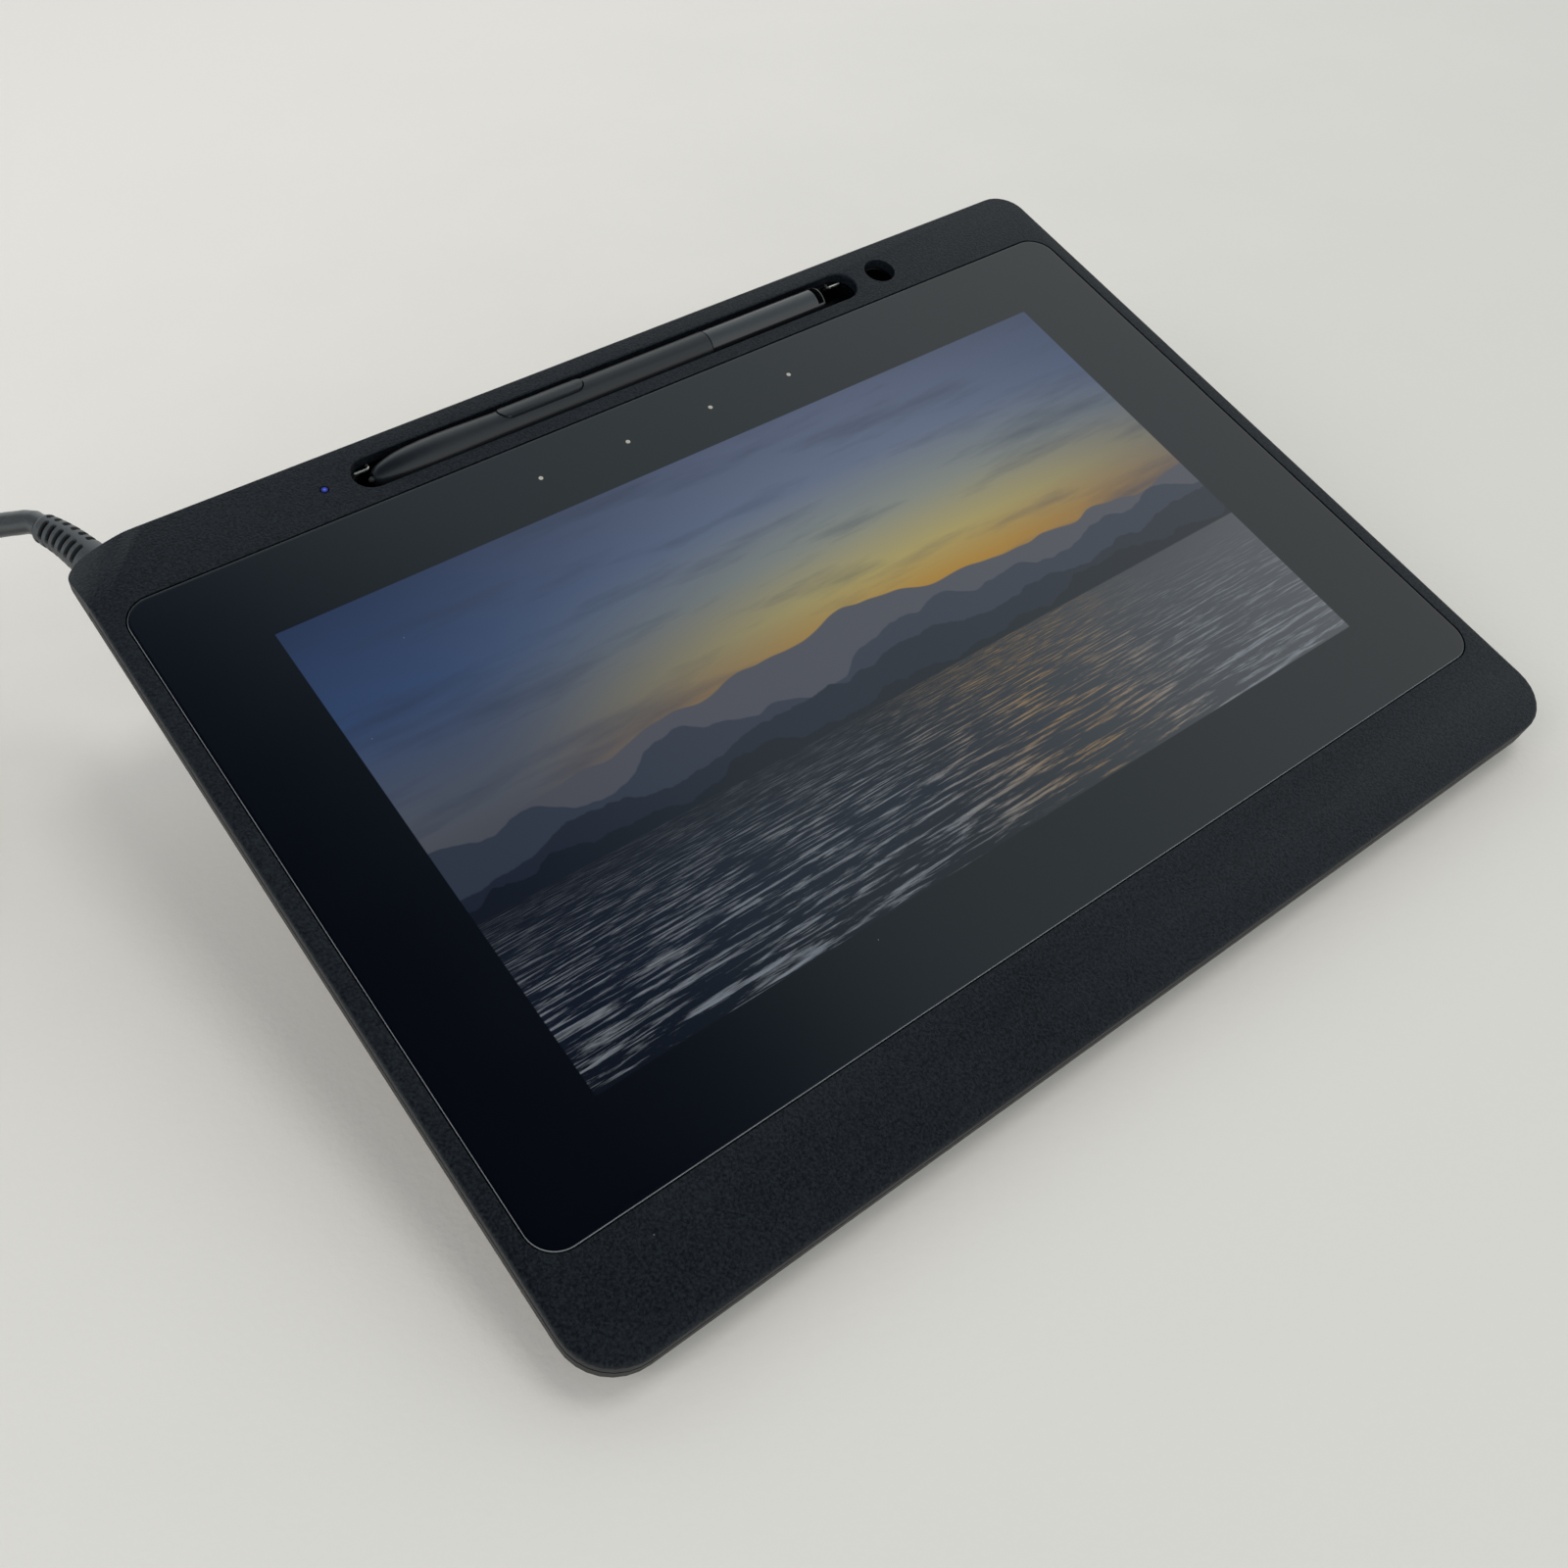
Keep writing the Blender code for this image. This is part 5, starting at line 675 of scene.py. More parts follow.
@dataclass(frozen=True)
class EtchedDisplay(Finish):
    """Etched cover glass, black printed at its edges, over a lit picture.

    The etching scatters reflections, so the room lies on the black as a soft haze that grows
    where the glass is seen more edge on.
    """

    picture: EveningPicture = EveningPicture()
    # the picture's middle on the glass and its width and height
    middle: tuple[float, float] = (0.0, 0.0017)
    size: tuple[float, float] = (0.2227, 0.1253)
    # the picture's unit of length, and in that unit the width of its soft edge and how deep
    # below the face the pale ground edge, partly a painted highlight, starts and is full
    unit: float = 0.1
    soft: float = 0.002
    ground_start: float = 0.0004
    ground_full: float = 0.0010
    ink_tones: Stops = ((NOISE_LOW, "#020306"), (NOISE_HIGH, "#03050a"))
    # pale tone of the ground edge, partly the ground glass and partly a painted highlight of the edge
    # catching the light
    ground_edge_and_glint: str = "#969ca2"
    roughness: float = 0.20
    rough_change: float = 0.03
    gloss: float = 0.50
    dust: float = 0.35
    cloud_mm: float = 60.0
    # real etching is finer than 0.05 mm; it is drawn this coarse so that it shows
    etch_mm: float = 0.30
    etch_depth_mm: float = 0.002

    def picture_place(self, tree: NodeTree, place: NodeSocket) -> NodeSocket:
        """Place on the glass in tenths of a metre from the picture's middle.

        Args:
            tree: the material's node tree.
            place: the surface's Object coordinates.

        Returns:
            X to the right, Y up the picture and Z out of the glass.
        """
        origin = CASE_FRAME.on_table(np.array((self.middle[0], self.middle[1], 0.0)))
        return add_node(tree, "Mapping", {
            "Vector": place, "Location": tuple(origin), "Rotation": (CASE_FRAME.tilt, 0.0, 0.0),
            "Scale": (self.unit,) * 3,
        }, vector_type="TEXTURE")

    def window(self, tree: NodeTree, axes: tuple[NodeSocket, NodeSocket]) -> NodeSocket:
        """One inside the lit rectangle and nought outside it: the product over X and Y.

        Args:
            tree: the material's node tree.
            axes: X and Y from the picture's middle.

        Returns:
            A number from nought to one.
        """
        inside = 1.0
        for axis, extent in zip(axes, self.size):
            away = add_node(tree, "Math", {0: axis}, operation="ABSOLUTE")
            edge = extent / 2.0 / self.unit
            step = add_node(tree, "MapRange", {
                "Value": away, "From Min": edge - self.soft, "From Max": edge,
                "To Min": 1.0, "To Max": 0.0,
            })
            inside = add_node(tree, "Math", {0: step, 1: inside}, operation="MULTIPLY")
        return inside

    def sockets(self, tree: NodeTree, place: NodeSocket) -> Inputs:
        """Black ink with a pale ground edge that is partly a painted highlight, light inside the
        window, and the etching's bump.

        Args:
            tree: the material's node tree.
            place: the surface's Object coordinates.

        Returns:
            What the shader's inputs take.
        """
        spot = self.picture_place(tree, place)
        x, y, z = (add_node(tree, "SeparateXYZ", {"Vector": spot}, axis) for axis in "XYZ")
        lit = add_node(tree, "Mix", {
            0: self.window(tree, (x, y)), 6: linear("#000000"), 7: self.picture.colour(tree, x, y),
        }, 2, data_type="RGBA")
        etch = add_node(tree, "TexNoise", {
            "Vector": place, "Scale": per_metre(self.etch_mm), "Detail": 1.0,
        })
        bump = add_node(tree, "Bump", {
            "Height": etch, "Strength": 0.5, "Distance": self.etch_depth_mm * MILLIMETRE,
        })
        clouds = add_node(tree, "TexNoise", {
            "Vector": place, "Scale": per_metre(self.cloud_mm), "Detail": 2.0,
        })
        rough = add_node(tree, "MapRange", {
            "Value": clouds, "To Min": self.roughness - self.rough_change,
            "To Max": self.roughness + self.rough_change,
        })
        ink = add_node(tree, "ValToRGB", {"Fac": clouds}, stops=toned(self.ink_tones))
        # the ground edge just below the face: pale ground glass and a painted highlight together
        edge = add_node(tree, "MapRange", {
            "Value": z, "From Min": -self.ground_full, "From Max": -self.ground_start,
            "To Min": 1.0, "To Max": 0.0,
        })
        base = add_node(tree, "Mix", {
            0: edge, 6: DUST.over(tree, place, ink, self.dust), 7: linear(self.ground_edge_and_glint),
        }, 2, data_type="RGBA")
        return {"Base Color": base, "Emission Color": lit, "Emission Strength": 1.0,
                "Roughness": rough, "Normal": bump, "Specular IOR Level": self.gloss}


@dataclass(frozen=True)
class TableTop(Finish):
    """Matt painted board with the mottling of a roller, and painted light that makes it a little
    paler towards the rear.
    """

    near: str = "#d6d5cf"
    far: str = "#e8e5df"
    # painted light: the way in which it grows paler, and where on it the near and the far tone are
    # reached
    way: Point = (-0.28, 0.96, 0.0)
    near_at: float = -0.08
    far_at: float = 0.58
    mottle_mm: float = 70.0
    mottle_weight: float = 0.16
    nap_mm: float = 2.0
    nap_depth_mm: float = 0.2
    roughness: float = 0.85
    gloss: float = 0.2

    def sockets(self, tree: NodeTree, place: NodeSocket) -> Inputs:
        """Two pale greys by the distance to the rear as painted light, slow mottling, and a fine
        bump.

        Args:
            tree: the material's node tree.
            place: the surface's Object coordinates.

        Returns:
            What the shader's inputs take.
        """
        slow = add_node(tree, "TexNoise", {
            "Vector": place, "Scale": per_metre(self.mottle_mm), "Detail": 4.0, "Roughness": 0.6,
        })
        fine = add_node(tree, "TexNoise", {
            "Vector": place, "Scale": per_metre(self.nap_mm), "Detail": 3.0,
        })
        # painted light: the table's tone grows paler along this way
        back = add_node(tree, "VectorMath", {0: place, 1: self.way}, "Value",
                        operation="DOT_PRODUCT")
        mottled = add_node(tree, "Math", {0: slow, 1: self.mottle_weight, 2: back},
                           operation="MULTIPLY_ADD")
        share = add_node(tree, "MapRange", {
            "Value": mottled, "From Min": self.near_at, "From Max": self.far_at,
        }, interpolation_type="SMOOTHSTEP")
        colour = add_node(tree, "Mix", {0: share, 6: linear(self.near), 7: linear(self.far)}, 2,
                          data_type="RGBA")
        bump = add_node(tree, "Bump", {
            "Height": fine, "Strength": 0.5, "Distance": self.nap_depth_mm * MILLIMETRE,
        })
        return {"Base Color": colour, "Normal": bump, "Roughness": self.roughness,
                "Specular IOR Level": self.gloss}


class Palette(Enum):
    """The finishes of the pad, each named for what the real piece is made of."""

    # ABS moulded in a spark-eroded tool: an even grain that breaks up every reflection. It is
    # drawn about twice as coarse as the real one, so that it shows
    CASE = MouldedPlastic("textured_black_abs", "#06090d", "#1c2127", 0.60, 0.140, 0.50, 0.20, 0.30)
    # The same plastic with a duller, evener grain under the case
    UNDERSIDE = MouldedPlastic("underside_black_abs", "#0c0d10", "#131416", 0.55, 0.022, 0.52, 0.40)
    # ABS from a polished tool: the tray shines like lacquer
    TRAY = MouldedPlastic("gloss_black_abs", "#020304", "#050608", 0.80, 0.001, 0.12, 0.50)
    # Soft-touch coat on the pen's barrel, silky and almost without grain
    PEN = MouldedPlastic("soft_touch_pen_coat", "#111417", "#16191c", 0.30, 0.006, 0.38, 0.50)
    # The pen's cap: the same colour from a smoother tool, so its highlight is tighter
    PEN_CAP = MouldedPlastic("satin_pen_cap_abs", "#0d0f12", "#121417", 0.30, 0.003, 0.24, 0.75)
    # Matt rubber of the feet and the tie: a broad, weak sheen
    FOOT = MouldedPlastic("foot_rubber_matt", "#131315", "#1c1c1e", 0.60, 0.030, 0.78, 0.30)
    # Extruded PVC jacket of the lead, smooth with a dull shine
    JACKET = MouldedPlastic("pvc_cable_jacket", "#3c3f40", "#424546", 0.70, 0.003, 0.27, 0.60)
    # Softer PVC moulded over the plug, in the jacket's colour but duller
    PLUG = MouldedPlastic("moulded_pvc_plug", "#383b3d", "#404346", 0.45, 0.006, 0.42, 0.50)
    # The relief's PVC: its slots go right through the wall, and painted shade makes them black
    # inside, where no light comes back
    SLEEVE = SlottedPlastic("slotted_pvc_sleeve", "#3b3e40", "#434649", 0.45, 0.006, 0.42, 0.50)
    # Foam cut from sheet: open cells that swallow the light
    GASKET = MouldedPlastic("black_foam_gasket", "#0b0b0b", "#141414", 0.35, 0.040, 0.90, 0.20)
    # Acetal of the nib, a hard plastic with a waxy shine
    NIB = MouldedPlastic("acetal_pen_nib", "#26282a", "#303234", 0.25, 0.002, 0.38, 0.45)
    # Zinc plated steel of screws, lock plate and plug: bright, with a soft edge to its glints
    STEEL = Metal("zinc_plated_steel", "#b9bcc0", 0.28, 0.20)
    # Zinc coated sheet, stamped: greyer and duller, with the marks of the rolling
    ZINC = Metal("stamped_zinc_sheet", "#a9adb2", 0.38, 0.35)
    # Nickel plate on the tether bars: a warm white that picks up the room's light
    NICKEL = Metal("bright_nickel_bar", "#dcd6ca", 0.34, 0.15)
    # Turned brass of the fixings: yellow, with fine rings from the lathe
    BRASS = Metal("turned_brass", "#c9a255", 0.30, 0.15)
    # Copper wire under clear enamel: red brown with a satin shine
    COPPER = Metal("enamelled_copper_wire", "#b5673a", 0.34, 0.12)
    # Glass fibre board under green lacquer: the tracks stand out a little paler
    BOARD = Laminate("green_circuit_board", "#0d4a2b", "#1c6a3c", 1.6, 0.38)
    # Polyimide film over copper: amber, with finer tracks
    FILM = Laminate("amber_polyimide_film", "#8a4a12", "#a8641c", 0.8, 0.32)
    # Liquid crystal panel seen from its back and sides: near black, hardly lit
    PANEL = Glow("liquid_crystal_panel", "#10151f", "#141c2c", 0.2, 0.30)
    # Acrylic light guide: milky white with a weak even light
    GUIDE = Glow("acrylic_light_guide", "#d8d8d2", "#d8d8d2", 0.10, 0.25)
    # Diffusing lens of the key marks: a pale warm grey, dimly lit
    PALE_LENS = Glow("diffusing_key_lens", "#8f8c84", "#8f8c84", 0.50, 0.45)
    # Blue lens over the status lamp: one bright point in a deep blue
    BLUE_LENS = LitDot("blue_status_lens")
    # Etched glass: no sharp reflection anywhere, a haze over black ink and picture alike
    GLASS = EtchedDisplay("etched_cover_glass")
    # Board painted with a roller: matt pale grey that takes soft shadows, with painted light making
    # it paler towards the rear
    TABLE = TableTop("painted_table_top")


# Meshes


def numbered_grid(rows: int, columns: int, wrap: bool) -> np.ndarray:
    """Four corner numbers for each cell of a grid of points, row by row.

    Args:
        rows: number of rows.
        columns: number of points in a row.
        wrap: join the last point of a row to its first.

    Returns:
        An array of cells by four.
    """
    index = np.arange(rows * columns).reshape(rows, columns)
    here = index if wrap else index[:, :-1]
    ahead = np.roll(index, -1, axis=1) if wrap else index[:, 1:]
    return np.stack((here[:-1], ahead[:-1], ahead[1:], here[1:]), axis=-1).reshape(-1, 4)


def skin(name: str, grid: np.ndarray, wrap: bool = True, capped: bool = True) -> bpy.types.Mesh:
    """Mesh of a grid of points, closed at its two ends by fans from their middles.

    Each cell of the grid is one four-sided face. The enclosed volume is the sum over the faces
    of a third of the corner's place times the face's area vector; where that sum is below zero
    the faces are turned round.

    Args:
        name: the mesh's name.
        grid: rows by columns by three.
        wrap: whether each row is a closed loop.
        capped: whether the first and last rows are closed.

    Returns:
        The new mesh.
    """
    rows, columns = grid.shape[:2]
    points = grid.reshape(-1, 3)
    faces = numbered_grid(rows, columns, wrap)
    fans = np.empty((0, 3), dtype=int)
    if capped:
        ends = np.vstack((grid[0].mean(axis=0), grid[-1].mean(axis=0)))
        loop = np.arange(columns)
        after = np.roll(loop, -1)
        last = (rows - 1) * columns
        first_fan = np.column_stack((np.full(columns, len(points)), after, loop))
        last_fan = np.column_stack((np.full(columns, len(points) + 1), last + loop, last + after))
        fans = np.vstack((first_fan, last_fan))
        points = np.vstack((points, ends))
    corners = np.vstack((faces[:, (0, 1, 2)], faces[:, (0, 2, 3)], fans))
    a, b, c = (points[corners[:, i]] for i in range(3))
    if capped and np.einsum("ij,ij->i", a, np.cross(b, c)).sum() < 0.0:
        faces, fans = faces[:, ::-1], fans[:, ::-1]
    mesh = bpy.data.meshes.new(name)
    mesh.from_pydata(points.tolist(), [], faces.tolist() + fans.tolist())
    mesh.validate()
    return mesh


def route(knots: np.ndarray, spacing: float, steps: int = 24) -> np.ndarray:
    """Even points on a Catmull-Rom curve through knots.

    Between two knots it is a cubic that starts and stops on them, with a slope at each that is
    half the way from the knot before it to the knot after it.

    Args:
        knots: the points that the curve goes through, as rows.
        spacing: about how far apart the new points are.
        steps: points worked out between two knots, before they are spaced evenly.

    Returns:
        The new points, as rows, with both ends.
    """
    ends = np.vstack((2.0 * knots[0] - knots[1], knots, 2.0 * knots[-1] - knots[-2]))
    share = np.linspace(0.0, 1.0, steps, endpoint=False)[:, None, None]
    before, start, stop, after = ends[:-3], ends[1:-2], ends[2:-1], ends[3:]
    spans = 0.5 * (
        2.0 * start + (stop - before) * share
        + (2.0 * before - 5.0 * start + 4.0 * stop - after) * share ** 2
        + (3.0 * start - before - 3.0 * stop + after) * share ** 3
    )
    dense = np.vstack((spans.transpose(1, 0, 2).reshape(-1, 3), knots[-1:]))
    return evenly(dense, spacing)


def distances(line: np.ndarray) -> np.ndarray:
    """How far along a line each of its points is."""
    return np.r_[0.0, np.cumsum(np.linalg.norm(np.diff(line, axis=0), axis=1))]


def evenly(line: np.ndarray, spacing: float) -> np.ndarray:
    """Points an even distance apart on a line, with both of its ends.

    Args:
        line: points of the line, as rows.
        spacing: about how far apart the new points are.

    Returns:
        The new points, as rows.
    """
    along = distances(line)
    count = max(2, int(round(along[-1] / spacing)) + 1)
    places = np.linspace(0.0, along[-1], count)
    return np.column_stack([np.interp(places, along, line[:, axis]) for axis in range(3)])


def line_length(line: np.ndarray) -> float:
    """Length of a line through points."""
    return float(np.linalg.norm(np.diff(line, axis=0), axis=1).sum())


def carried_frames(line: np.ndarray) -> tuple[np.ndarray, np.ndarray]:
    """Two directions square to a line at each of its points, turned as little as may be.

    Each step carries the last side direction on and takes away its part along the new tangent;
    the second direction is the tangent crossed with the first.

    Args:
        line: points of the line, as rows.

    Returns:
        The two directions at each point, as rows.
    """
    tangent = np.gradient(line, axis=0)
    tangent /= np.linalg.norm(tangent, axis=1)[:, None]
    side = np.empty_like(line)
    first = np.cross(tangent[0], (0.0, 0.0, 1.0))
    side[0] = first / np.linalg.norm(first)
    for step in range(1, len(line)):
        carried = side[step - 1] - tangent[step] * np.dot(side[step - 1], tangent[step])
        side[step] = carried / np.linalg.norm(carried)
    return side, np.cross(tangent, side)


def swept(line: np.ndarray, radius: np.ndarray, sides: int) -> np.ndarray:
    """Grid of a round profile carried along a line.

    Args:
        line: points of the centre line.
        radius: radius at each point, or at each point and angle.
        sides: points round the profile.

    Returns:
        A grid of points: centre plus radius times cosine and sine of the angle along the two
        carried directions.
    """
    side, up = carried_frames(line)
    angle = np.linspace(0.0, 2.0 * math.pi, sides, endpoint=False)
    around = np.cos(angle)[None, :, None] * side[:, None] + np.sin(angle)[None, :, None] * up[:, None]
    reach = radius if radius.ndim == 2 else radius[:, None] * np.ones(sides)[None, :]
    return line[:, None, :] + reach[:, :, None] * around


def rounded_outline(width: float, depth: float, radius: float, steps: int) -> np.ndarray:
    """Outline of a rectangle with round corners, which are four quarter circles.

    Args:
        width: its size along X.
        depth: its size along Y.
        radius: radius of its corners.
        steps: points on each corner.

    Returns:
        Anticlockwise points, as rows of two.
    """
    quarter = np.linspace(0.0, math.pi / 2.0, steps)
    points = []
    for number, (sign_x, sign_y) in enumerate(((1, 1), (-1, 1), (-1, -1), (1, -1))):
        centre = np.array((sign_x * (width / 2.0 - radius), sign_y * (depth / 2.0 - radius)))
        angle = quarter + number * math.pi / 2.0
        points.append(centre + radius * np.column_stack((np.cos(angle), np.sin(angle))))
    return np.vstack(points)


def numbered(stem: str, count: int) -> tuple[str, ...]:
    """Names with the numbers from one to the count behind them."""
    return tuple("%s_%d" % (stem, number) for number in range(1, count + 1))


def show(name: str, mesh: bpy.types.Mesh, finish: Finish, body: str,
         nodes: tuple[str, ...] = (), smooth: float = 40.0) -> bpy.types.Object:
    """Put a piece in the scene, dressed and riding on its body.

    Args:
        name: the piece's name.
        mesh: its mesh, with its place in it.
        finish: what it is made of.
        body: the body that carries it.
        nodes: the solids that it stands for.
        smooth: the angle in degrees up to which edges are shaded smooth.

    Returns:
        The new object.
    """
    piece = bpy.data.objects.new(name, mesh)
    bpy.context.scene.collection.objects.link(piece)
    mesh.materials.clear()
    mesh.materials.append(finish.material())
    mesh.shade_smooth()
    mesh.set_sharp_from_angle(angle=math.radians(smooth))
    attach(piece, body)
    if nodes:
        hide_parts(*nodes)
    LOG.info("%s: %d faces", name, len(mesh.polygons))
    return piece


# Corners nearer to each other than this are one, and faces turned by less are one plane
MERGE_MM = 0.002
LEVEL_DEGREES = 0.4


def eased(node: str, finish: Finish, body: str, edge_mm: float = 0.15,
          smooth: float = 34.0) -> bpy.types.Object:
    """A solid's own shape with its corners merged and its sharp edges broken.

    Args:
        node: the solid.
        finish: what it is made of.
        body: the body that carries it.
        edge_mm: how wide the edges are broken, in millimetres.
        smooth: the angle in degrees below which an edge counts as smooth.

    Returns:
        The new piece, which replaces the solid.
    """
    shape = bmesh.new()
    shape.from_mesh(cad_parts[node].data)
    bmesh.ops.remove_doubles(shape, verts=shape.verts, dist=MERGE_MM * MILLIMETRE)
    bmesh.ops.dissolve_limit(
        shape, angle_limit=math.radians(LEVEL_DEGREES), verts=shape.verts, edges=shape.edges
    )
    mesh = bpy.data.meshes.new(node + "_eased")
    shape.to_mesh(mesh)
    shape.free()
    piece = show(node + "_eased", mesh, finish, body, (node,), smooth)
    bevel = piece.modifiers.new("Broken edges", "BEVEL")
    bevel.width = edge_mm * MILLIMETRE
    bevel.segments = 2
    bevel.limit_method = "ANGLE"
    bevel.angle_limit = math.radians(smooth)
    bevel.use_clamp_overlap = True
    bevel.harden_normals = True
    return piece


def dress(finish: Finish, *nodes: str) -> None:
    """Give solids that stay as they are their finish.

    Args:
        finish: what they are made of.
        nodes: names of the solids.
    """
    for node in nodes:
        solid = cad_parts[node]
        material = finish.material()
        if not solid.material_slots:
            solid.data.materials.append(material)
        for slot in solid.material_slots:
            slot.material = material
        LOG.info("%s keeps its solid, as %s", node, finish.name)


# View and light


@dataclass(frozen=True)
class Viewpoint:
    """Where the photograph was taken from and the way it looks."""

    place: Point = (-0.18621593, -0.21383413, 0.27820088)
    right: Point = (0.789227, -0.614102, -0.0000616)
    down: Point = (-0.439510, -0.564776, -0.698469)
    ahead: Point = (0.428897, 0.551277, -0.715640)
    lens: float = 36.63
    sensor: float = 36.0
    nearest: float = 0.01

    def build(self) -> None:
        """Make the camera: it looks along its own -Z with +Y up."""
        data = bpy.data.cameras.new("view")
        data.lens = self.lens
        data.sensor_width = self.sensor
        data.sensor_height = self.sensor
        data.sensor_fit = "HORIZONTAL"
        data.clip_start = self.nearest
        camera = bpy.data.objects.new("view", data)
        columns = np.column_stack((self.right, np.negative(self.down), np.negative(self.ahead)))
        matrix = Matrix(columns.tolist()).to_4x4()
        matrix.translation = self.place
        camera.matrix_world = matrix
        bpy.context.scene.collection.objects.link(camera)
        bpy.context.scene.camera = camera


@dataclass(frozen=True)
class Lamp:
    """Soft square lamp that faces the pad and lights it without a glint of its own."""

    name: str
    place: Point
    size: float
    power: float
    colour: Point = (1.0, 0.917, 0.865)

    def build(self) -> None:
        """Make the lamp, turned so that its back points away from the pad."""
        data = bpy.data.lights.new(self.name, "AREA")
        data.shape = "SQUARE"
        data.size = self.size
        data.energy = self.power
        data.color = self.colour
        lamp = bpy.data.objects.new(self.name, data)
        back = np.array(self.place) / np.linalg.norm(self.place)
        side = np.cross((0.0, 0.0, 1.0), back)
        side /= np.linalg.norm(side)
        matrix = Matrix(np.column_stack((side, np.cross(back, side), back)).tolist()).to_4x4()
        matrix.translation = self.place
        lamp.matrix_world = matrix
        lamp.visible_glossy = False
        bpy.context.scene.collection.objects.link(lamp)


@dataclass(frozen=True)
class Room:
    """Pale table, three soft lamps, and a room that is bright all round and dark overhead."""

    table_size: float = 14.0
    lamps: tuple[Lamp, ...] = (
        Lamp("overhead_lamp", (0.95, -0.25, 3.1), 1.1, 22.5),
        Lamp("viewer_side_lamp", (-2.2, -2.8, 3.4), 2.5, 79.0),
        Lamp("left_lamp", (-3.4, 0.3, 3.0), 2.5, 47.0),
    )
    # the dark patch overhead lies to the left: the room's light falls as this sum of the
    # direction's X, Y and Z grows, which is never more than the reach
    overhead: Point = (-0.4, -0.1, 1.0)
    reach: float = 1.10
    strength: float = 1.1
    # radiance of the room by that sum: linear red, green, blue
    walls: tuple[tuple[float, Point], ...] = (
        (0.30, (0.98, 1.02, 1.02)), (0.50, (0.90, 1.00, 1.03)), (0.58, (0.68, 0.82, 0.88)),
        (0.70, (0.62, 0.74, 0.81)), (0.75, (0.44, 0.55, 0.65)), (0.785, (0.14, 0.22, 0.33)),
        (0.825, (0.01, 0.04, 0.11)), (0.87, (0.0, 0.004, 0.02)),
    )

    def build_world(self) -> None:
        """Colour of the room as a ramp over how far overhead and left a direction points."""
        world = bpy.data.worlds.new("room")
        world.use_nodes = True
        bpy.context.scene.world = world
        tree = world.node_tree
        tree.nodes.clear()
        way = add_node(tree, "TexCoord", out="Generated")
        height = add_node(tree, "VectorMath", {0: way, 1: self.overhead}, "Value",
                          operation="DOT_PRODUCT")
        share = add_node(tree, "Math", {0: height, 1: self.reach}, operation="DIVIDE")
        glow = add_node(tree, "ValToRGB", {"Fac": share}, stops=[
            (place / self.reach, (*(value / self.strength for value in colour), 1.0))
            for place, colour in self.walls
        ])
        light = add_node(tree, "Background", {"Color": glow, "Strength": self.strength})
        add_node(tree, "OutputWorld", {"Surface": light})

    def build(self) -> None:
        """Make the world, the lamps and the table top."""
        self.build_world()
        for lamp in self.lamps:
            lamp.build()
        half = self.table_size / 2.0
        mesh = bpy.data.meshes.new("table_top")
        mesh.from_pydata(
            [(-half, -half, 0.0), (half, -half, 0.0), (half, half, 0.0), (-half, half, 0.0)],
            [], [(0, 1, 2, 3)],
        )
        table = bpy.data.objects.new("table_top", mesh)
        mesh.materials.append(Palette.TABLE.value.material())
        bpy.context.scene.collection.objects.link(table)


# The lead


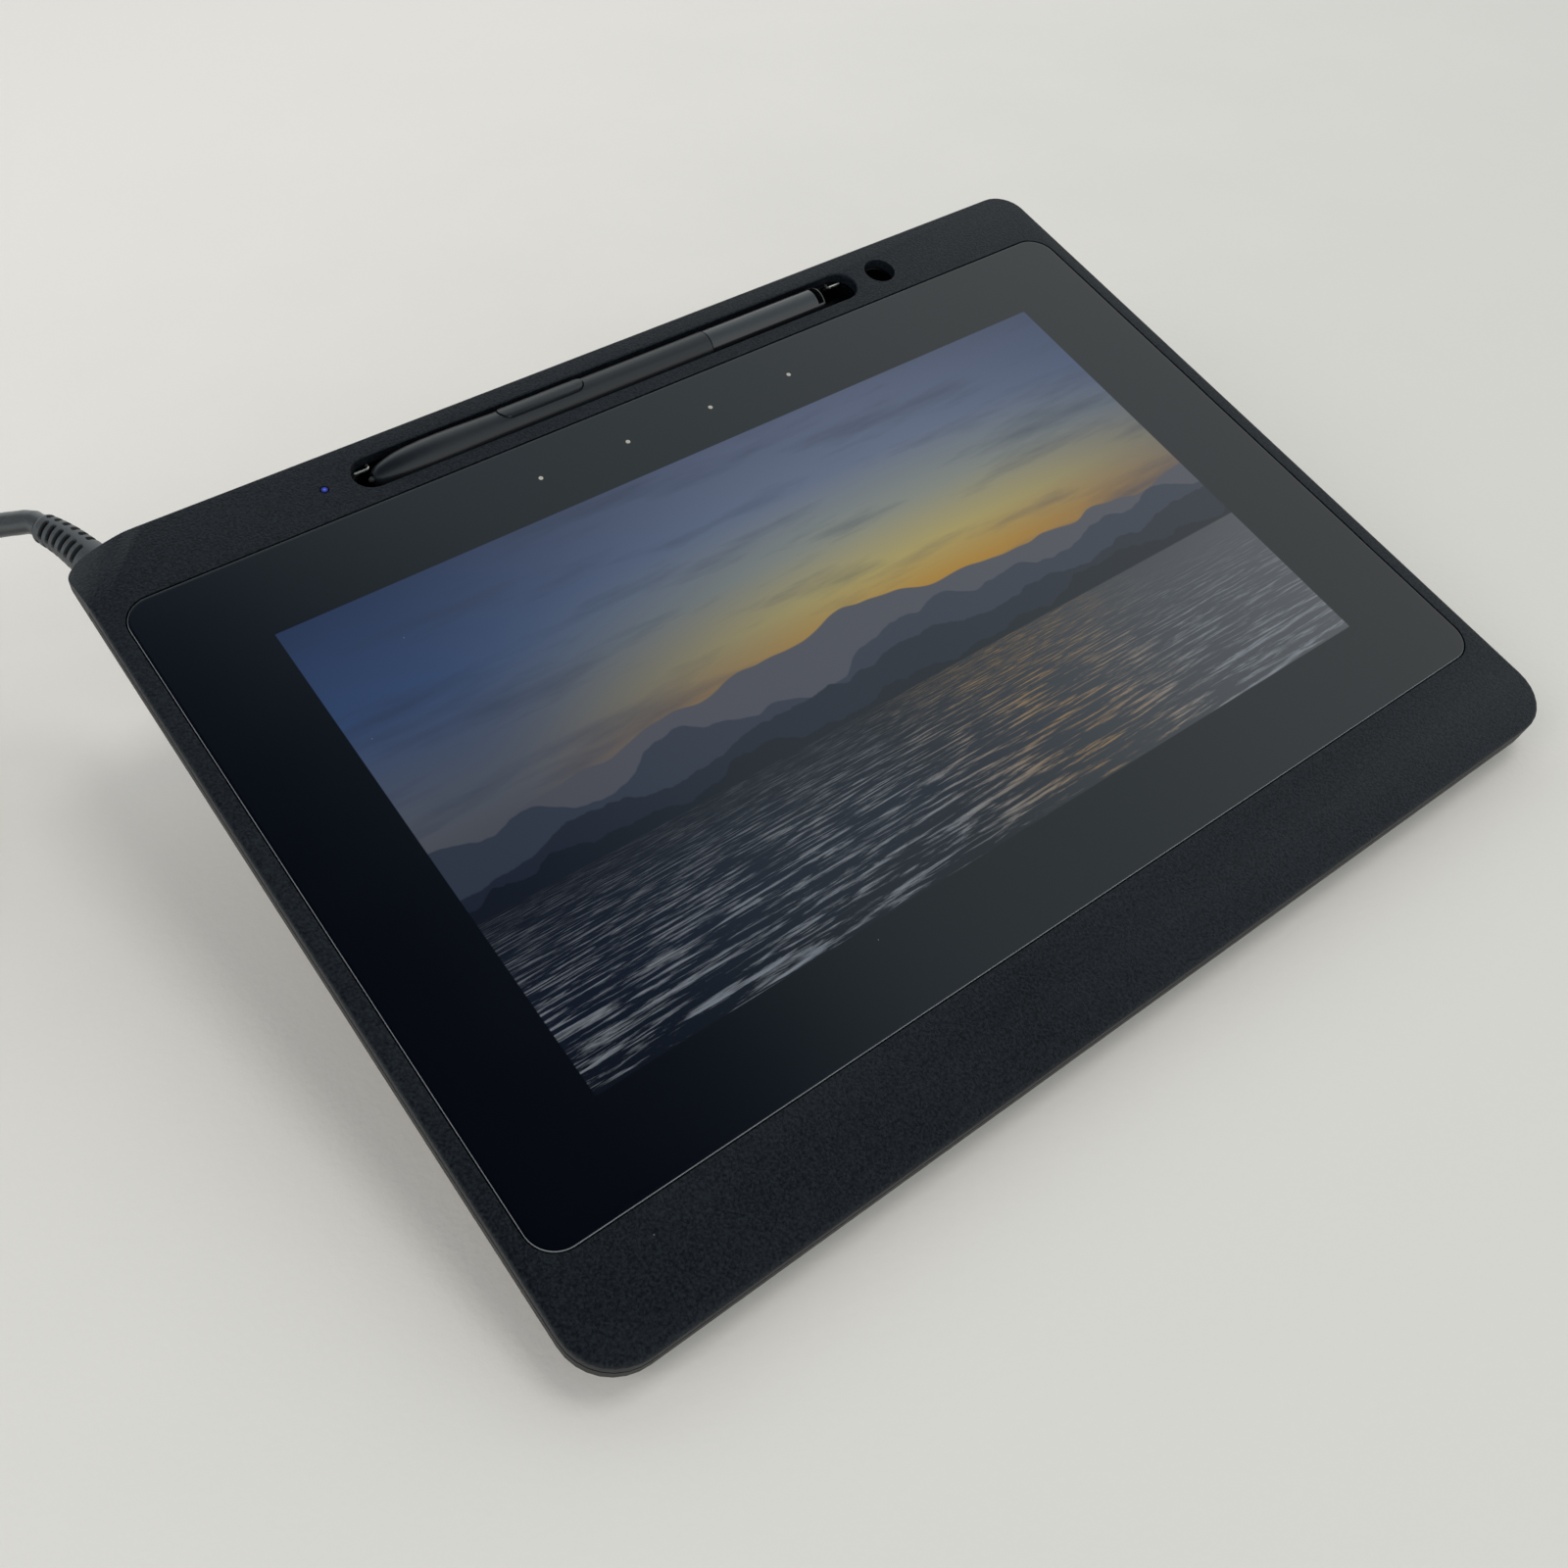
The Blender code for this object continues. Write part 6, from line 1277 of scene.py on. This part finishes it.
@dataclass
class Lead:
    """Strain relief at the corner, the lead, its winding with a tie, and its plug."""

    diameter: float = 0.0055
    # where the lead leaves the rear wall: along it, below the glass, and how far it turns left
    exit_x: float = -0.1325
    exit_depth: float = 0.0093
    case_depth: float = 0.2120
    relief_turn: float = math.radians(16.0)
    # the sleeve: its length, the share of it that is straight, and its radii
    relief_length: float = 0.0182
    relief_straight: float = 0.60
    base_radius: float = 0.0046
    end_radius: float = 0.0035
    core_radius: float = 0.0026
    # length of the round at the relief's tip, and how far in it goes as a share of that
    tip_round: float = 0.0010
    tip_share: float = 0.62
    # its slots: twelve, two facing each other at each step, in turns with the next two
    slot_start: float = 0.0040
    slot_pitch: float = 0.0011
    slot_width: float = 0.0010
    slot_half_length: float = 0.00245
    slot_edge: float = 0.00012
    slot_count: int = 12
    slot_roll: float = math.radians(-40.0)
    # the winding: two layers of turns, and half a turn in which the lead climbs to the upper
    coil_centre: tuple[float, float] = (-0.2265, 0.1230)
    coil_mean: float = 0.0310
    layer_turns: float = 23.0 / 6.0
    climb_turns: float = 0.5
    climb_dip: float = 0.0016
    coil_pitch: float = 0.0060
    coil_start: float = math.radians(150.0)
    coil_low: float = 0.00355
    # the tie: where round the winding it is, and from where to where its loop reaches
    tie_angle: float = math.radians(285.0)
    tie_inner: float = 0.01598
    tie_outer: float = 0.04603
    tie_half_width: float = 0.0030
    tie_thick: float = 0.0008
    tie_corner: float = 0.0040
    tie_corner_steps: int = 14
    plug_heading: float = math.radians(-81.0)
    plug_edge_mm: float = 0.30
    shell_edge_mm: float = 0.12
    gap: float = 0.0003
    # how finely the lines and the profiles round them are worked out
    relief_steps: int = 12
    relief_spacing: float = 0.00011
    relief_sides: int = 192
    coil_steps: int = 36
    route_spacing: float = 0.001
    lead_spacing: float = 0.0021
    lead_sides: int = 24
    # the run from the relief to the winding, and from the winding to the plug
    knots: tuple[Point, ...] = (
        (-0.1418, 0.1249, 0.0610), (-0.1460, 0.1277, 0.0605), (-0.1516, 0.1313, 0.0588),
        (-0.1600, 0.1366, 0.0549), (-0.1710, 0.1436, 0.0480), (-0.1835, 0.1518, 0.0385),
        (-0.1970, 0.1599, 0.0275), (-0.2115, 0.1662, 0.0175), (-0.2270, 0.1688, 0.0096),
        (-0.2415, 0.1662, 0.0052), (-0.2533, 0.1585, 0.0039),
    )
    tail_knots: tuple[Point, ...] = (
        (-0.2573, 0.0912, 0.0089), (-0.2535, 0.0835, 0.0070), (-0.2505, 0.0750, 0.0052),
        (-0.2483, 0.0660, 0.0045),
    )
    plug_start: Point = (-0.2468, 0.0570, 0.0044)

    def relief_line(self) -> np.ndarray:
        """Centre line of the relief: straight out of the wall, then bent with the lead.

        The bent part goes midway between the way out of the wall and the way to the first knot.

        Returns:
            Points from the wall to the tip, as rows.
        """
        way = np.array((-math.sin(self.relief_turn), math.cos(self.relief_turn), 0.0))
        start = CASE_FRAME.on_table(np.array((self.exit_x, self.case_depth / 2.0, -self.exit_depth)))
        ahead = CASE_FRAME.turn() @ way
        bend = start + ahead * self.relief_length * self.relief_straight
        toward = np.array(self.knots[0]) - bend
        toward /= np.linalg.norm(toward)
        turn = (ahead + toward) / np.linalg.norm(ahead + toward)
        tip = bend + turn * self.relief_length * (1.0 - self.relief_straight)
        knots = np.vstack((start + ahead * self.stand_off(), bend, tip))
        return route(knots, self.relief_length / self.relief_steps)

    def stand_off(self) -> float:
        """How far out of the wall the sleeve starts, so that its square end clears it."""
        return self.base_radius * math.tan(self.relief_turn) + self.gap

    def coil_line(self) -> np.ndarray:
        """Centre line of the winding.

        The radius falls by the pitch in each turn of the lower layer, stays while the lead
        climbs, and grows again above; the angle grows evenly. While it climbs, height follows
        half a cosine wave, and the radius dips by half a sine wave.

        Returns:
            Points from the outermost turn below to the outermost turn above, as rows.
        """
        total = 2.0 * self.layer_turns + self.climb_turns
        turns = np.linspace(0.0, total, int(round(total * self.coil_steps)) + 1)
        climb = np.clip((turns - self.layer_turns) / self.climb_turns, 0.0, 1.0)
        inward = np.minimum(turns, self.layer_turns)
        outward = np.maximum(turns - self.layer_turns - self.climb_turns, 0.0)
        outer = self.coil_mean + self.coil_pitch * self.layer_turns / 2.0
        radius = outer - self.coil_pitch * (inward - outward)
        radius -= self.climb_dip * np.sin(math.pi * climb)
        angle = self.coil_start + 2.0 * math.pi * turns
        height = self.coil_low + self.coil_pitch * (1.0 - np.cos(math.pi * climb)) / 2.0
        return np.column_stack((
            self.coil_centre[0] + radius * np.cos(angle),
            self.coil_centre[1] + radius * np.sin(angle), height,
        ))

    def lead_line(self) -> np.ndarray:
        """Centre line from the relief's end through the winding to the plug.

        The run and the tail leave and meet the winding along its own direction.

        Returns:
            Evenly spaced points, as rows.
        """
        relief = self.relief_line()
        leaving = relief[-1] - relief[-2]
        leaving /= np.linalg.norm(leaving)
        coil = self.coil_line()
        into = np.array((-math.sin(self.coil_start), math.cos(self.coil_start), 0.0))
        end_angle = self.coil_start + 2.0 * math.pi * (2.0 * self.layer_turns + self.climb_turns)
        out = np.array((-math.sin(end_angle), math.cos(end_angle), 0.0))
        heading = np.array((math.cos(self.plug_heading), math.sin(self.plug_heading), 0.0))
        first = relief[-1] + leaving * self.gap
        last = np.array(self.plug_start) - heading * self.gap
        half = self.diameter / 2.0
        run = route(np.vstack((
            first, first + leaving * half, self.knots, coil[0] - into * self.diameter,
        )), self.route_spacing)
        tail = route(np.vstack((
            coil[-1] + out * self.diameter, self.tail_knots, last - heading * half, last,
        )), self.route_spacing)
        return evenly(np.vstack((run, coil, tail)), self.lead_spacing)

    def slot_depth(self, along: np.ndarray, radius: np.ndarray) -> np.ndarray:
        """How deep the slots are at each point of the sleeve.

        A slot lies round one side of the sleeve. Its depth is one where the distance from its
        own middle line is under half its width, and falls to nought over its edge. The slots
        come in facing pairs, and each pair is a quarter turn on from the one before.

        Args:
            along: how far each row of the sleeve is from its first.
            radius: the sleeve's radius in each row.

        Returns:
            Numbers from nought to one, rows by points round the sleeve.
        """
        angle = np.linspace(0.0, 2.0 * math.pi, self.relief_sides, endpoint=False)
        depth = np.zeros((len(along), self.relief_sides))
        half_wide = self.slot_width / 2.0
        for number in range(self.slot_count):
            middle = self.slot_start - self.stand_off() + number * self.slot_pitch + half_wide
            facing = self.slot_roll + (0.0 if number % 2 else math.pi / 2.0)
            across = np.abs((angle - facing + math.pi / 2.0) % math.pi - math.pi / 2.0)
            reach = across[None, :] * radius[:, None]
            past = np.maximum(reach - (self.slot_half_length - half_wide), 0.0)
            from_axis = np.hypot(past, (along - middle)[:, None])
            window = np.clip((half_wide - from_axis) / self.slot_edge + 0.5, 0.0, 1.0)
            depth = np.maximum(depth, window)
        return depth

    def build_relief(self) -> bpy.types.Object:
        """Tapered sleeve with slots on four sides.

        The radius falls evenly from wall to tip, closes in a quarter round at the tip, and
        drops to the core inside each slot.

        Returns:
            The piece.
        """
        line = evenly(self.relief_line(), self.relief_spacing)
        along = distances(line)
        radius = self.base_radius + (self.end_radius - self.base_radius) * along / along[-1]
        near_tip = np.clip((along - along[-1] + self.tip_round) / self.tip_round, 0.0, 1.0)
        # 0.999 keeps the round from standing square to the line in the last row
        radius -= self.tip_round * self.tip_share * (1.0 - np.sqrt(1.0 - 0.999 * near_tip ** 2))
        depth = self.slot_depth(along, radius)
        full = radius[:, None] - depth * np.maximum(radius[:, None] - self.core_radius, 0.0)
        mesh = skin("strain_relief_sleeve", swept(line, full, self.relief_sides))
        # the slots' depth, kept as the mask of the painted shade inside them
        painted_slot_shade = mesh.attributes.new("painted_slot_shade", "FLOAT", "POINT")
        painted_slot_shade.data.foreach_set("value", np.r_[depth.ravel(), 0.0, 0.0])
        return show("strain_relief_sleeve", mesh, Palette.SLEEVE.value, "case",
                    ("strain_relief",), smooth=50.0)

    def build_tie(self) -> bpy.types.Object:
        """Strap round the winding.

        A rounded loop in the upright plane through the winding's axis is carried over the
        strap's width, outside and then back inside, so that the grid closes on itself.

        Returns:
            The piece.
        """
        centre = np.array((*self.coil_centre, 0.0))
        out = np.array((math.cos(self.tie_angle), math.sin(self.tie_angle), 0.0))
        along = np.array((-math.sin(self.tie_angle), math.cos(self.tie_angle), 0.0))
        upward = np.array((0.0, 0.0, 1.0))
        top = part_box("cable_tie")[1][2]
        middle = (self.tie_inner + self.tie_outer) / 2.0
        loops = [rounded_outline(
            self.tie_outer - self.tie_inner - 2.0 * grow, top - 2.0 * grow,
            self.tie_corner - grow, self.tie_corner_steps,
        ) + np.array((0.0, top / 2.0)) for grow in (0.0, self.tie_thick)]
        outer, inner = loops
        wide = self.tie_half_width
        grid = np.stack([
            centre + (middle + loop[:, :1]) * out + loop[:, 1:] * upward + place * along
            for loop, place in (
                (outer, -wide), (outer, wide), (inner, wide), (inner, -wide), (outer, -wide)
            )
        ])
        mesh = skin("tie_strap", grid, capped=False)
        shape = bmesh.new()
        shape.from_mesh(mesh)
        bmesh.ops.remove_doubles(shape, verts=shape.verts, dist=MERGE_MM * MILLIMETRE)
        bmesh.ops.recalc_face_normals(shape, faces=shape.faces)
        shape.to_mesh(mesh)
        shape.free()
        return show("tie_strap", mesh, Palette.FOOT.value, "case", ("cable_tie",))

    def build(self) -> None:
        relief = self.build_relief()
        line = self.lead_line()
        radius = np.full(len(line), self.diameter / 2.0)
        mesh = skin("lead", swept(line, radius, self.lead_sides))
        lead = show("lead", mesh, Palette.JACKET.value, "case",
                    ("cable_run", "cable_coil", "cable_tail"))
        tie = self.build_tie()
        plug = eased("plug_body", Palette.PLUG.value, "case", self.plug_edge_mm)
        shell = eased("plug_shell", Palette.STEEL.value, "case", self.shell_edge_mm)
        LOG.info("lead length %.4f m", line_length(line))


# The case and what it holds


@dataclass
class DisplayFront:
    """Cover glass with fine ground edges, flush in the case."""

    width: float = 0.2726
    depth: float = 0.1688
    middle_y: float = 0.0021
    radius: float = 0.0068
    thickness: float = 0.0011
    edge: float = 0.00025
    margin: float = 0.0005
    edge_steps: int = 5
    corner_steps: int = 28

    def build(self) -> None:
        """Slab with a rounded outline.

        Its edges are quarter rounds of the edge width, and a flat row just inside each keeps
        the two faces' shading level.
        """
        turns = np.linspace(0.0, math.pi / 2.0, self.edge_steps)
        insets = np.concatenate((
            (self.edge + self.margin,), self.edge * (1.0 - np.sin(turns)),
            self.edge * (1.0 - np.cos(turns)), (self.edge + self.margin,),
        ))
        heights = np.concatenate((
            (-self.thickness,), -self.thickness + self.edge * (1.0 - np.cos(turns)),
            -self.edge * (1.0 - np.sin(turns)), (0.0,),
        ))
        rows = []
        for inset, height in zip(insets, heights):
            outline = rounded_outline(
                self.width - 2.0 * inset, self.depth - 2.0 * inset, self.radius - inset,
                self.corner_steps,
            )
            flat = np.column_stack((outline[:, 0], outline[:, 1] + self.middle_y,
                                    np.full(len(outline), height)))
            rows.append(CASE_FRAME.on_table(flat))
        mesh = skin("glass_front", np.stack(rows))
        show("glass_front", mesh, Palette.GLASS.value, "case", ("cover_glass",),
             smooth=30.0)


@dataclass
class KeyMarks:
    """Four small lit marks in the black border of the glass."""

    count: int = 4
    pitch: float = 0.0249
    middle_x: float = 0.0001
    y: float = 0.0753
    radius: float = 0.00072
    rise: float = 0.00006
    sides: int = 32
    # the rings of a mark, from its rim inwards, as shares of its radius
    rings: tuple[float, ...] = (1.0, 0.92, 0.6, 0.3, 0.02)

    def build(self) -> None:
        """Each mark is a shallow dome, the lowest third of it in the glass.

        Its height falls with the square of the distance from its middle.
        """
        angle = np.linspace(0.0, 2.0 * math.pi, self.sides, endpoint=False)
        for number, name in enumerate(numbered("key_mark", self.count)):
            x = self.middle_x + (number - (self.count - 1) / 2.0) * self.pitch
            rows = np.stack([
                np.column_stack((
                    x + self.radius * share * np.cos(angle),
                    self.y + self.radius * share * np.sin(angle),
                    np.full(len(angle), self.rise * (1.0 - share ** 2) - self.rise / 3.0),
                )) for share in self.rings
            ])
            mesh = skin(name, CASE_FRAME.on_table(rows))
            show(name, mesh, Palette.PALE_LENS.value, "case", smooth=60.0)


@dataclass
class Case:
    """Covers, tray and fixings with their edges broken, and what lies inside as it is."""

    screw_edge_mm: float = 0.10
    button_edge_mm: float = 0.12
    screws: tuple[str, ...] = (
        *numbered("case_screw", 6), *numbered("stand_screw", 4), "cable_cover_screw",
    )
    # each cover with its finish, its slot and the width of its broken edges in millimetres
    covers: dict[str, tuple[Palette, str, float]] = field(default_factory=lambda: {
        "top_cover": (Palette.CASE, "textured_abs", 0.16),
        "bottom_cover": (Palette.UNDERSIDE, "underside_abs", 0.16),
        "cable_cover": (Palette.UNDERSIDE, "underside_abs", 0.20),
        "stand_base": (Palette.UNDERSIDE, "underside_abs", 0.20),
        "pen_tray": (Palette.TRAY, "gloss_abs", 0.15),
        "pen_stand_cup": (Palette.TRAY, "gloss_abs", 0.12),
        "lock_plate": (Palette.STEEL, "steel", 0.08),
        "front_foot_left": (Palette.FOOT, "foot_rubber", 0.30),
        "front_foot_right": (Palette.FOOT, "foot_rubber", 0.30),
        "rear_foot_left": (Palette.FOOT, "foot_rubber", 0.30),
        "rear_foot_right": (Palette.FOOT, "foot_rubber", 0.30),
    })
    inside: dict[Palette, tuple[str, ...]] = field(default_factory=lambda: {
        Palette.NICKEL: ("tether_pin_left", "tether_pin_right"),
        Palette.BRASS: numbered("mount_insert", 4),
        Palette.BOARD: ("digitizer_board", "key_board", "status_board", "main_board"),
        Palette.ZINC: ("shield_plate", "panel_frame"),
        Palette.GASKET: ("glass_gasket",),
        Palette.PANEL: ("lcd_panel",),
        Palette.GUIDE: ("backlight_unit",),
        Palette.PALE_LENS: numbered("key_light", 4),
        Palette.BLUE_LENS: ("status_lens",),
        Palette.FILM: ("sensor_flex",),
        Palette.JACKET: ("inner_lead",),
    })

    def build(self) -> None:
        """Ease the covers, the screws and the button, and dress the rest as it is."""
        for node, (finish, slot, edge_mm) in self.covers.items():
            eased(node, finish.value, "case", edge_mm)
        for node in self.screws:
            eased(node, Palette.STEEL.value, "case", self.screw_edge_mm)
        for finish, nodes in self.inside.items():
            dress(finish.value, *nodes)
        eased("power_button", Palette.TRAY.value, "button", self.button_edge_mm)


@dataclass
class Pen:
    """The pen in its tray, with its side switch, nib and inner parts."""

    edge_mm: float = 0.08
    switch_edge_mm: float = 0.15

    def build(self) -> None:
        """Ease the visible parts and dress the inner ones."""
        eased("pen_barrel", Palette.PEN.value, "pen", self.edge_mm)
        eased("pen_cap", Palette.PEN_CAP.value, "pen", self.edge_mm)
        eased("side_switch", Palette.PEN.value, "switch", self.switch_edge_mm)
        eased("pen_nib", Palette.NIB.value, "nib", self.edge_mm)
        dress(Palette.COPPER.value, "pen_coil")
        dress(Palette.BOARD.value, "pen_board")


def main() -> None:
    """Build the view, the lead, the room, the case and the pen."""
    logging.basicConfig(level=logging.INFO, format="%(message)s")
    bpy.context.scene.view_settings.view_transform = "Standard"
    for assembly in (Viewpoint(), Lead(), Room(), DisplayFront(), KeyMarks(), Case(), Pen()):
        assembly.build()
        LOG.info("%s built", type(assembly).__name__)


if __name__ == "__main__":
    main()
